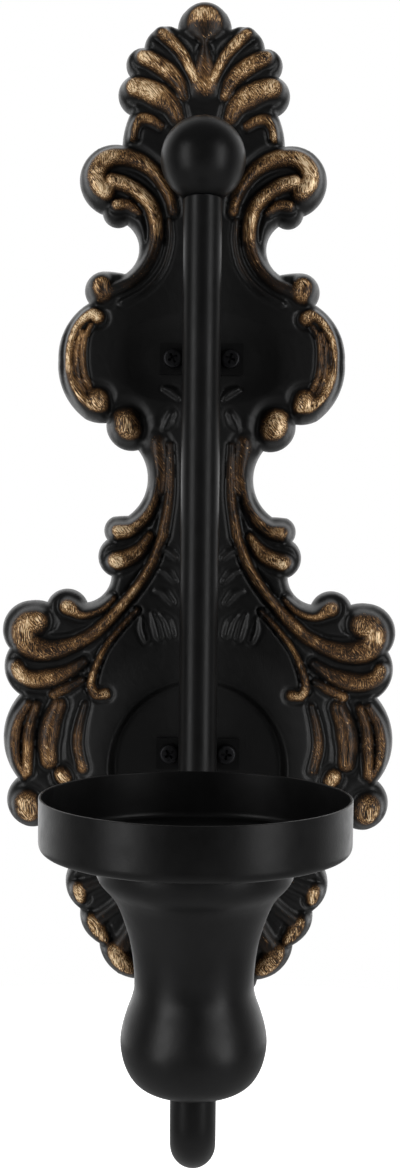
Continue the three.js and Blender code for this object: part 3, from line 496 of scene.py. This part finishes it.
def sweep(name, path, radii, sides):
    """A tube with these radii along a path of points in the Y-Z plane, with a ring face at each end."""
    bm = bmesh.new()
    rings = []
    tangents = [(b - a).normalized() for a, b in zip([path[0], *path], [*path[1:], path[-1]])]
    across = Vector((1, 0, 0))
    for radius in radii:
        for point, tangent in zip(path, tangents):
            up = tangent.cross(across)
            rings.append([
                bm.verts.new(point + across * (radius * math.cos(turn)) + up * (radius * math.sin(turn)))
                for turn in (2 * math.pi * i / sides for i in range(sides))
            ])
    count = len(path)
    joins = [(i, i + 1) for i in range(count - 1)] + [(count + i, count + i + 1) for i in range(count - 1)]
    joins += [(0, count), (count - 1, 2 * count - 1)]
    for a, b in joins:
        for i in range(sides):
            j = (i + 1) % sides
            bm.faces.new([rings[a][i], rings[a][j], rings[b][j], rings[b][i]])
    return finished(name, bm)


# ---- Materials ----
class Tree:
    """A node tree, with a short call for each kind of node that the looks use."""

    def __init__(self, owner):
        owner.use_nodes = True
        self.nodes = owner.node_tree.nodes
        self.links = owner.node_tree.links

    def feed(self, socket, value):
        """Links another node's output to the socket, or sets a plain value."""
        if isinstance(value, bpy.types.NodeSocket):
            self.links.new(value, socket)
        else:
            socket.default_value = value

    def node(self, kind, output, inputs, **settings):
        """Adds a node with these settings and inputs, and returns one of its outputs."""
        made = self.nodes.new(f"ShaderNode{kind}")
        for name, value in settings.items():
            setattr(made, name, value)
        for name, value in inputs.items():
            self.feed(made.inputs[name], value)
        return made.outputs[output]

    def noise(self, scale, detail, roughness=0.55, stretch=1.0, tilt=0.0):
        """Noise on object coordinates, stretched along Z and then tilted about Y."""
        spot = self.node("TexCoord", "Object", {})
        turned = {"Vector": spot, "Scale": (1, 1, stretch), "Rotation": (0, tilt, 0)}
        stretched = self.node("Mapping", "Vector", turned, vector_type="TEXTURE")
        grain = {"Vector": stretched, "Scale": scale, "Detail": detail, "Roughness": roughness}
        return self.node("TexNoise", "Fac", grain)

    def remap(self, value, low, high, to_low=0.0, to_high=1.0):
        """The value, with low to high stretched onto to_low to to_high and held there beyond."""
        limits = {"From Min": low, "From Max": high, "To Min": to_low, "To Max": to_high}
        return self.node("MapRange", "Result", {"Value": value, **limits})

    def plus(self, a, b):
        return self.node("Math", "Value", {0: a, 1: b}, operation="ADD")

    def minus(self, a, b):
        return self.node("Math", "Value", {0: a, 1: b}, operation="SUBTRACT")

    def times(self, a, b):
        return self.node("Math", "Value", {0: a, 1: b}, operation="MULTIPLY")

    def mix(self, factor, a, b, data_type="FLOAT"):
        """a where the factor is 0 and b where it is 1."""
        return self.node("Mix", "Result", {"Factor": factor, "A": a, "B": b}, data_type=data_type)

    def ramp(self, value, stops):
        """The colour at value along the stops, each a position and a colour."""
        made = self.nodes.new("ShaderNodeValToRGB")
        elements = made.color_ramp.elements
        elements[0].position, elements[0].color = stops[0][0], (*stops[0][1], 1)
        elements[1].position, elements[1].color = stops[-1][0], (*stops[-1][1], 1)
        for position, colour in stops[1:-1]:
            elements.new(position).color = (*colour, 1)
        self.links.new(value, made.inputs["Fac"])
        return made.outputs["Color"]

    def bump(self, height, strength, distance):
        return self.node("Bump", "Normal", {"Height": height, "Strength": strength, "Distance": distance})


def new_material(name, surface):
    """A material; surface is given its tree and returns what each input of the shader is fed."""
    material = bpy.data.materials.new(name)
    tree = Tree(material)
    shader = tree.nodes["Principled BSDF"]
    for socket, value in surface(tree).items():
        tree.feed(shader.inputs[socket], value)
    return material


def black_paint(tree):
    """Satin black paint, faintly mottled, with fine orange peel."""
    dark, light = (0.0034, 0.0034, 0.0034), (0.0062, 0.0062, 0.006386)
    return {
        "Base Color": tree.ramp(tree.noise(60, 4), [(0.3, dark), (0.7, light)]),
        "Roughness": tree.remap(tree.noise(220, 5, 0.6), 0.3, 0.75, 0.32, 0.43),
        "Specular IOR Level": 0.14,
        "Normal": tree.bump(tree.noise(1400, 2), 0.1, 0.00025),
    }


STROKE_LENGTH = 11  # over a stroke's width
UPRIGHT, SLANTED = -0.05, -0.68  # tilts of the strokes, in radians
STROKE_SHARE = 0.7  # of the wear; the rest is patches
GOLD_AND_HIGHLIGHT_STOPS = [  # from bare paint to a full touch of gold; the palest stops are partly painted highlight
    (0.05, (0.004, 0.004, 0.004)),
    (0.2, (0.022, 0.012, 0.006)),
    (0.38, (0.088, 0.043, 0.017)),
    (0.58, (0.25, 0.132, 0.049)),
    (0.75, (0.54, 0.34, 0.162)),
    (0.95, (0.94, 0.73, 0.47)),
]


def antique_gilt(tree):
    """Black paint, with gold dry-brushed on the raised work in upright or slanted strokes, and painted
    highlight in its palest gold.
    """
    gilt_and_highlight_share = tree.node("Attribute", "Fac", {}, attribute_name="gilt_and_highlight")
    upright = tree.noise(3100, 3, 0.6, STROKE_LENGTH, UPRIGHT)
    slanted = tree.noise(3000, 3, 0.6, STROKE_LENGTH, SLANTED)
    chosen = tree.remap(tree.noise(85, 1, 0.4), 0.45, 0.55)
    brushed = tree.plus(upright, tree.times(chosen, tree.minus(slanted, upright)))
    strokes = tree.remap(brushed, 0.385, 0.635)
    patches = tree.remap(tree.noise(190, 3), 0.34, 0.66)
    worn = tree.plus(tree.times(strokes, STROKE_SHARE), tree.times(patches, 1 - STROKE_SHARE))
    wear = tree.remap(tree.noise(48, 2, 0.5), 0.35, 0.65, -0.16, 0.28)
    amount = tree.plus(tree.times(worn, 1.25), wear)
    stray = tree.times(tree.remap(slanted, 0.64, 0.72, 0.0, 0.7), tree.remap(gilt_and_highlight_share, 0.02, 0.2))
    flecks = tree.times(stray, tree.minus(1.0, gilt_and_highlight_share))
    # gold cover, with painted highlight where the crests are brightest
    cover_and_highlight = tree.plus(tree.times(gilt_and_highlight_share, amount), flecks)
    texture = tree.plus(tree.times(cover_and_highlight, 0.6), brushed)
    return {
        "Base Color": tree.ramp(cover_and_highlight, GOLD_AND_HIGHLIGHT_STOPS),
        "Metallic": tree.remap(cover_and_highlight, 0.1, 0.8, 0.0, 0.35),
        "Roughness": tree.remap(slanted, 0.3, 0.7, 0.34, 0.5),
        "Specular IOR Level": 0.25,
        "Normal": tree.bump(texture, 0.35, 0.0001),
    }


def scratched_steel(low, high, gloss):
    """The surface of plated or blackened steel: fine scratches between two colours, about this rough."""

    def surface(tree):
        scratch = tree.noise(700, 4, 0.65, 6.5)
        return {
            "Base Color": tree.ramp(scratch, [(0.3, low), (0.75, high)]),
            "Metallic": 0.9,
            "Roughness": tree.remap(scratch, 0.25, 0.75, gloss - 0.06, gloss + 0.1),
            "Normal": tree.bump(tree.noise(500, 3), 0.1, 0.0002),
        }

    return surface


ZINC = scratched_steel((0.30, 0.31, 0.32), (0.46, 0.47, 0.48), 0.36)
BLACKENED = scratched_steel((0.010, 0.010, 0.011), (0.026, 0.026, 0.028), 0.46)
BY_SLOT = {
    "black_paint": new_material("black_paint", black_paint),
    "antique_gilt": new_material("antique_gilt", antique_gilt),
    "zinc_plate": new_material("zinc_plate", ZINC),
    "blackened_steel": new_material("blackened_steel", BLACKENED),
}

for part in frame["record"]["subparts"]:
    node = frame["nodes"][part["node"]]
    node.data.materials.clear()
    node.data.materials.append(BY_SLOT[part["material_slot"]])

make_backplate()

# ---- Tube, ball, vase and dish ----
STEM_Y, CUP_Y = -28.0, -112.0  # axes of the upright and of the cup
STEM_R, STEM_BORE = 6.5, 5.3
STEM_TOP, RUN_Z, LEG_TOP = 50.5, -237.3, -218.4
REAR_BEND, FRONT_BEND = 16.0, 10.0
BEND_STEPS = 16


def in_metres(pairs):
    """Radius, height pairs in millimetres as pairs in metres."""
    return [(r * MM, z * MM) for r, z in pairs]


def make_stem():
    """The tube: down from the ball, forward under the cup and up into it."""
    points = [(STEM_Y, STEM_TOP)]
    bends = (
        (STEM_Y - REAR_BEND, RUN_Z + REAR_BEND, REAR_BEND, 0),
        (CUP_Y + FRONT_BEND, RUN_Z + FRONT_BEND, FRONT_BEND, 90),
    )
    for middle_y, middle_z, radius, first in bends:
        for i in range(BEND_STEPS + 1):
            turn = math.radians(first + 90 * i / BEND_STEPS)
            points.append((middle_y + radius * math.cos(turn), middle_z - radius * math.sin(turn)))
    points.append((CUP_Y, LEG_TOP))
    path = [place(0, y, z) for y, z in points]
    mesh = sweep("stem", path, (STEM_R * MM, STEM_BORE * MM), sides=72)
    add_piece("stem", mesh, "stand", "stem_tube", "black_paint")


BALL_R, BALL_Z, BALL_FOOT = 14.25, 63.8, 51.1
BALL_CHAMFER = 0.5
BALL_HOLE_R, BALL_HOLE_DEEP = 3.1, 12  # for the stud; its bush has the same bore
BALL_STEPS = 60


def make_ball():
    """The ball, cut flat at its foot, with a blind hole for its stud."""
    start = math.asin((BALL_FOOT - BALL_Z) / BALL_R)
    turns = [start + (math.pi / 2 - start) * i / BALL_STEPS for i in range(BALL_STEPS)]
    skin = [(BALL_R * math.cos(turn), BALL_Z + BALL_R * math.sin(turn)) for turn in turns]
    hole_top = BALL_FOOT + BALL_HOLE_DEEP
    hole = [(0, hole_top), (BALL_HOLE_R, hole_top), (BALL_HOLE_R, BALL_FOOT)]
    foot_edge = (skin[0][0] - BALL_CHAMFER, BALL_FOOT)
    profile = [*hole, foot_edge, *skin[1:], (0, BALL_Z + BALL_R)]
    mesh = lathe("ball", in_metres(profile), place(0, STEM_Y, 0), sides=96)
    add_piece("ball", mesh, "finial", "finial_ball", "black_paint")


# Outside of the vase from its mouth down: radius, height
VASE_OUTSIDE = [
    28.35, -151, 28.2, -154.6, 27.5, -157.7, 26.3, -159.6, 24.7, -161.3, 23.7, -162.4,
    21.9, -165.1, 19.8, -170.2, 18, -176.4, 17.05, -183, 16.85, -188.4,
    17.5, -191.8, 18.8, -195.4, 20.1, -199.8, 20.65, -204, 20.1, -208.4, 18.8, -212, 16.9, -214.8,
    14.3, -216.6, 11, -217.3, 6.6, -217.4,
]
VASE_STEP = 0.9
VASE_WALL = 1.0
VASE_FLAT_R = 6.6  # its foot is flat inside this
CUP_HOLE_R = 3.2  # for the bolt, through vase, dish, washer and leg bush
LIP_HEIGHT = 0.5


def make_vase():
    """The hollow vase: a smooth outside, a wall of one thickness and a rounded lip."""
    outside, _ = smooth_curve(VASE_OUTSIDE, VASE_STEP)
    along = np.gradient(outside, axis=0)
    along /= np.linalg.norm(along, axis=1)[:, None]
    inside_wall = outside + np.stack([along[:, 1], -along[:, 0]], axis=1) * VASE_WALL
    inside_wall = inside_wall[inside_wall[:, 0] > VASE_FLAT_R]
    top, foot = VASE_OUTSIDE[1] + LIP_HEIGHT, VASE_OUTSIDE[-1]
    lip = [(27.5, top - 0.1), (27.7, top), (28.05, top), (28.25, top - 0.15)]  # inner to outer edge
    bottom = [(CUP_HOLE_R, foot), (CUP_HOLE_R, foot + VASE_WALL)]
    profile = [*lip, *outside.tolist(), *bottom, *inside_wall[::-1].tolist()]
    mesh = lathe("vase", in_metres(profile), place(0, CUP_Y, 0), sides=128)
    add_piece("vase", mesh, "cup", "cup_vase", "black_paint")


DISH_RIM, DISH_R, DISH_SHEET = -135.0, 44.0, 0.9
DISH_FLOOR, WELL_FLOOR, WELL_R = -149.3, -157.8, 25.2


def make_dish():
    """The dish with a sunk well; each corner is radius, height and its own rounding."""
    profile = rounded([
        (CUP_HOLE_R, WELL_FLOOR - DISH_SHEET, 0.1),
        (WELL_R, WELL_FLOOR - DISH_SHEET, 1.6),
        (WELL_R, DISH_FLOOR - DISH_SHEET, 1.2),
        (DISH_R, DISH_FLOOR - DISH_SHEET, 3.0),
        (DISH_R, DISH_RIM, 0.3),
        (DISH_R - DISH_SHEET, DISH_RIM, 0.3),
        (DISH_R - DISH_SHEET, DISH_FLOOR, 2.1),
        (WELL_R - DISH_SHEET, DISH_FLOOR, 1.6),
        (WELL_R - DISH_SHEET, WELL_FLOOR, 0.8),
        (CUP_HOLE_R, WELL_FLOOR, 0.1),
    ], steps=8)
    mesh = lathe("dish", in_metres(profile), place(0, CUP_Y, 0), sides=160)
    add_piece("dish", mesh, "cup", "candle_dish", "black_paint")


make_stem()
make_ball()
make_vase()
make_dish()


# ---- Small hardware ----
def carved(mesh, cutters):
    """The mesh less each cutter mesh."""
    bodies = [bpy.data.objects.new("blank", m) for m in (mesh, *cutters)]
    for body in bodies:
        bpy.context.scene.collection.objects.link(body)
    for cutter in bodies[1:]:
        cut = bodies[0].modifiers.new("cut", "BOOLEAN")
        cut.operation = "DIFFERENCE"
        cut.solver = "EXACT"
        cut.object = cutter
    depsgraph = bpy.context.evaluated_depsgraph_get()
    made = bpy.data.meshes.new_from_object(bodies[0].evaluated_get(depsgraph))
    for body in bodies:
        old = body.data
        bpy.data.objects.remove(body)
        bpy.data.meshes.remove(old)
    made.materials.clear()
    smooth(made)
    return made


def block(name, low, high):
    """A box between two corners, in metres."""
    bm = bmesh.new()
    bmesh.ops.create_cube(bm, size=1)
    for vert in bm.verts:
        vert.co = Vector([a if c < 0 else b for a, b, c in zip(low, high, vert.co)])
    mesh = bpy.data.meshes.new(name)
    bm.to_mesh(mesh)
    bm.free()
    return mesh


def head_profile(shank_r, head_r, seat, top, seat_edge, top_edge):
    """A round head from under its seat to the middle of its top, with its two edges rounded."""
    return rounded([
        (shank_r, seat, 0.05),
        (head_r, seat, seat_edge),
        (head_r, top, top_edge),
        (0, top, 0),
        (0, seat, 0),
    ], steps=8)[:-1]


SCREW_TIP, SCREW_SEAT = 0.7, 7.5  # in front of the wall
SCREW_R, HEAD_R, HEAD_HEIGHT = 2.0, 3.4, 2.2
SCREW_POINT = 0.5
THREAD_PITCH, THREAD_DEEP = 0.7, 0.28
THREAD_RUNOUT = 1.0  # of the shank, not threaded
CROSS_LONG, CROSS_WIDE, CROSS_DEEP = 1.8, 0.42, 1.2  # half length, half width and depth


def make_screw_pattern():
    """A pan-head screw with a cross recess, standing on its tip along Z."""
    seat = SCREW_SEAT - SCREW_TIP
    top = seat + HEAD_HEIGHT
    shank = [(0, 0), (SCREW_R - SCREW_POINT, 0), (SCREW_R, SCREW_POINT)]
    for turn in range(int((seat - THREAD_RUNOUT) / THREAD_PITCH)):
        crest = THREAD_PITCH * (turn + 1)
        shank += [(SCREW_R, crest), (SCREW_R - THREAD_DEEP, crest + THREAD_PITCH / 2)]
    shank.append((SCREW_R, seat - 0.2))
    head = head_profile(SCREW_R, HEAD_R, seat, top, seat_edge=0.15, top_edge=1.5)
    reach, half, low, high = (v * MM for v in (CROSS_LONG, CROSS_WIDE, top - CROSS_DEEP, top + CROSS_DEEP))
    slots = [
        block("slot", (-reach, -half, low), (reach, half, high)),
        block("slot", (-half, -reach, low), (half, reach, high)),
    ]
    turned = lathe("screw", in_metres([*shank, *head]), Vector((0, 0, 0)), sides=40)
    return carved(turned, slots)


def make_screws():
    """Copies of the screw, laid down with the head to the front and each cross at its own angle."""
    pattern = make_screw_pattern()
    for level, z in zip(("upper", "lower"), FIXING_Z):
        for hand, x, angle in (("left", -SCREW_X, 0.5), ("right", SCREW_X, -0.3)):
            mesh = pattern.copy()
            spin = Matrix.Rotation(math.pi / 2, 4, "X") @ Matrix.Rotation(angle + z * 0.01, 4, "Z")
            mesh.transform(Matrix.Translation(place(x, -SCREW_TIP, z)) @ spin)
            name = f"{level}_{hand}_screw"
            add_piece(f"{name}_turned", mesh, "stand", name, "blackened_steel")
    bpy.data.meshes.remove(pattern)


BOLT_SEAT, BOLT_TIP, BOLT_R = -156.6, -225.4, 3.0
BOLT_HEAD_R, BOLT_HEAD_HEIGHT = 5.4, 2.6
BOLT_POINT = (0.6, 0.8)  # chamfer at its tip: across and along
SOCKET_R, SOCKET_DEEP = 2.3, 1.5
WASHER_R = 9.0


def make_bolt():
    """The cup's bolt, with a rounded head and a hexagon socket."""
    top = BOLT_SEAT + BOLT_HEAD_HEIGHT
    across, along = BOLT_POINT
    shank = [
        (0, BOLT_TIP),
        (BOLT_R - across, BOLT_TIP),
        (BOLT_R, BOLT_TIP + along),
        (BOLT_R, BOLT_SEAT - 0.1),
    ]
    head = head_profile(BOLT_R, BOLT_HEAD_R, BOLT_SEAT, top, seat_edge=0.2, top_edge=1.9)
    bolt = lathe("bolt", in_metres([*shank, *head]), place(0, CUP_Y, 0), sides=56)
    low, high = top - SOCKET_DEEP, top + 2
    socket = [(0, low), (SOCKET_R, low), (SOCKET_R, high), (0, high)]
    mesh = carved(bolt, [lathe("socket", in_metres(socket), place(0, CUP_Y, 0), sides=6)])
    add_piece("bolt", mesh, "stand", "cup_bolt", "blackened_steel")


def make_washer():
    """The washer between the dish's well and the bolt's head."""
    ring = rounded([
        (CUP_HOLE_R, WELL_FLOOR, 0.05),
        (WASHER_R, WELL_FLOOR, 0.1),
        (WASHER_R, BOLT_SEAT, 0.35),
        (CUP_HOLE_R, BOLT_SEAT, 0.1),
    ], steps=4)
    mesh = lathe("washer", in_metres(ring), place(0, CUP_Y, 0), sides=72)
    add_piece("washer", mesh, "stand", "dish_washer", "blackened_steel")


BUSH_GAP = 0.15  # between a bush and the tube's bore
SOFT_EDGE = 0.25


def make_bush(name, node, y, end_z, flange_r, flange, length, bore):
    """A bush pressed into an end of the tube at height end_z, with a flange that closes it."""
    bush_r = STEM_BORE - BUSH_GAP
    ring = rounded([
        (bore, -length, 0.2),
        (bush_r, -length, 0.5),
        (bush_r, 0, 0.05),
        (flange_r, 0, 0.1),
        (flange_r, flange, 0.2),
        (bore, flange, 0.2),
    ], steps=4)
    mesh = lathe(name, in_metres(ring), place(0, y, end_z), sides=64)
    add_piece(name, mesh, "stand", node, "blackened_steel")


def soften_cad_edges():
    """Narrow bevels on the pieces that keep their CAD shape."""
    nuts = [f"{level}_{hand}_nut" for level in ("upper", "lower") for hand in ("left", "right")]
    for name in ("upper_bracket", "lower_bracket", "hanger_strap", "finial_stud", *nuts):
        node = frame["nodes"][name]
        edge = node.modifiers.new("soft_edges", "BEVEL")
        edge.width = SOFT_EDGE * MM
        edge.segments = 2
        edge.limit_method = "ANGLE"
        edge.angle_limit = SHARP
        smooth(node.data)


make_screws()
make_bolt()
make_washer()
make_bush(
    "bush_finial", "finial_bush", STEM_Y, STEM_TOP,
    flange_r=STEM_BORE + 0.45, flange=0.6, length=14, bore=BALL_HOLE_R,
)
make_bush(
    "bush_leg", "leg_bush", CUP_Y, LEG_TOP,
    flange_r=STEM_R - 0.1, flange=1.0, length=8, bore=CUP_HOLE_R,
)
soften_cad_edges()

# ---- Floor and world, in metres ----
FLOOR_BELOW, FLOOR_R = 0.9, 3.0
FLOOR_FADE = (0.3, 1.5)  # distances over which the floor turns white to the camera
WORLD_FRONT, WORLD_REAR = 0.035, 1.9  # strength of its light
WORLD_FULL = 0.75  # rearward part of a direction from which the light is full


def floor_surface(tree):
    """Pale grey, darker in reflections, which glows white to the camera away from its middle."""
    mirrored = tree.node("LightPath", "Is Glossy Ray", {})
    spot = tree.node("TexCoord", "Object", {})
    flat = tree.node("VectorMath", "Vector", {0: spot, 1: (1, 1, 0)}, operation="MULTIPLY")
    reach = tree.node("VectorMath", "Value", {0: flat}, operation="LENGTH")
    seen = tree.node("LightPath", "Is Camera Ray", {})
    fade = tree.times(tree.remap(reach, *FLOOR_FADE), seen)
    return {
        "Base Color": tree.mix(mirrored, (0.9, 0.9, 0.9, 1), (0.64, 0.64, 0.64, 1), "RGBA"),
        "Roughness": 0.9,
        "Emission Color": (1, 1, 1, 1),
        "Emission Strength": fade,
        "Specular IOR Level": tree.minus(1.0, fade),
    }


def make_floor():
    """A wide disc well below the object."""
    mesh = bpy.data.meshes.new("floor")
    low = cad_box[0].z - FLOOR_BELOW
    rim = [(x, y, low) for x, y in circle(0, 0, FLOOR_R, 96).tolist()]
    mesh.from_pydata(rim, [], [list(range(len(rim)))])
    floor = bpy.data.objects.new("floor", mesh)
    bpy.context.scene.collection.objects.link(floor)
    mesh.materials.append(new_material("floor", floor_surface))


def make_world():
    """White to the camera; as light, bright from behind the object and dim from the front."""
    world = bpy.data.worlds.new("studio")
    bpy.context.scene.world = world
    tree = Tree(world)
    direction = tree.node("TexCoord", "Generated", {})
    rearward = tree.node("SeparateXYZ", "Y", {"Vector": direction})
    light = tree.remap(rearward, 0.0, WORLD_FULL, WORLD_FRONT, WORLD_REAR)
    seen = tree.node("LightPath", "Is Camera Ray", {})
    background = tree.nodes["Background"]
    tree.feed(background.inputs["Color"], (1, 1, 1, 1))
    tree.feed(background.inputs["Strength"], tree.mix(seen, light, 1.0))


# ---- Lights: places in metres from what they shine at, energies in watts ----
SIDES = (("left", -1), ("right", 1))
SOFTBOX_AT, SOFTBOX_SIZE, SOFTBOX_ENERGY = (1.15, -0.95, 0.10), (0.5, 1.5), 14
TOP_AT, TOP_SIZE, TOP_ENERGY = (0, -0.6, 1.5), (1.6, 1.0), 1.0
BULB_LIGHT_AT, BULB_LIGHT_SIZE = (0.47, -0.63, 0.15), (0.35, 0.35)
BULB_LIGHT_ENERGY = {"left": 1.4, "right": 1.05}
BULB_RISE = 0.013  # middle of the vase's bulb above its foot


def area_light(name, target, offset, size, energy):
    """A rectangular lamp at an offset from its target, turned towards it."""
    data = bpy.data.lights.new(name, "AREA")
    data.shape = "RECTANGLE"
    data.size, data.size_y = size
    data.energy = energy
    lamp = bpy.data.objects.new(name, data)
    lamp.location = target + Vector(offset)
    lamp.rotation_euler = (target - lamp.location).to_track_quat("-Z", "Y").to_euler()
    bpy.context.scene.collection.objects.link(lamp)
    return lamp


def mirrored_place(hand, offset):
    """The offset, on the left where hand is -1."""
    x, y, z = offset
    return hand * x, y, z


def make_lights():
    """A softbox on each side, a faint fill from above, and two lamps that light the vase alone."""
    centre = (cad_box[0] + cad_box[1]) / 2
    for side, hand in SIDES:
        at = mirrored_place(hand, SOFTBOX_AT)
        area_light(f"softbox_{side}", centre, at, SOFTBOX_SIZE, SOFTBOX_ENERGY)
    area_light("top_fill", centre, TOP_AT, TOP_SIZE, TOP_ENERGY)
    low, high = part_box("cup_vase")
    bulb = Vector(((low.x + high.x) / 2, (low.y + high.y) / 2, low.z + BULB_RISE))
    lit = bpy.data.collections.new("lit_by_bulb_lights")
    lit.objects.link(bpy.data.objects["vase"])
    for side, hand in SIDES:
        at = mirrored_place(hand, BULB_LIGHT_AT)
        lamp = area_light(f"bulb_light_{side}", bulb, at, BULB_LIGHT_SIZE, BULB_LIGHT_ENERGY[side])
        lamp.light_linking.receiver_collection = lit


# ---- Camera ----
CAMERA_AT = (2, -407.9, 71.8)  # millimetres from the middle of the dish's rim
CAMERA_DOWN, CAMERA_TURN, CAMERA_ROLL = (math.radians(angle) for angle in (1.77, 0.20, 0.56))
CAMERA_LENS, CAMERA_SENSOR, CAMERA_NEAR = 44.94, 36, 0.01


def make_camera():
    """A view from in front of the dish and a little above its rim, tipped, turned and rolled slightly."""
    low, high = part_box("candle_dish")
    rim = Vector(((low.x + high.x) / 2, (low.y + high.y) / 2, high.z))
    level = math.cos(CAMERA_DOWN)
    forward = Vector((
        -math.sin(CAMERA_TURN) * level,
        math.cos(CAMERA_TURN) * level,
        -math.sin(CAMERA_DOWN),
    ))
    right = Vector((math.cos(CAMERA_TURN), math.sin(CAMERA_TURN), 0))
    up = right.cross(forward)
    cosine, sine = math.cos(CAMERA_ROLL), math.sin(CAMERA_ROLL)
    right, up = right * cosine + up * sine, up * cosine - right * sine
    data = bpy.data.cameras.new("camera")
    data.sensor_width = CAMERA_SENSOR
    data.lens = CAMERA_LENS
    data.clip_start = CAMERA_NEAR
    camera = bpy.data.objects.new("camera", data)
    axes = Matrix((right, up, -forward)).transposed().to_4x4()
    camera.matrix_world = Matrix.Translation(rim + Vector(CAMERA_AT) * MM) @ axes
    bpy.context.scene.collection.objects.link(camera)
    bpy.context.scene.camera = camera


make_floor()
make_world()
make_lights()
make_camera()
bpy.context.scene.view_settings.view_transform = "Standard"
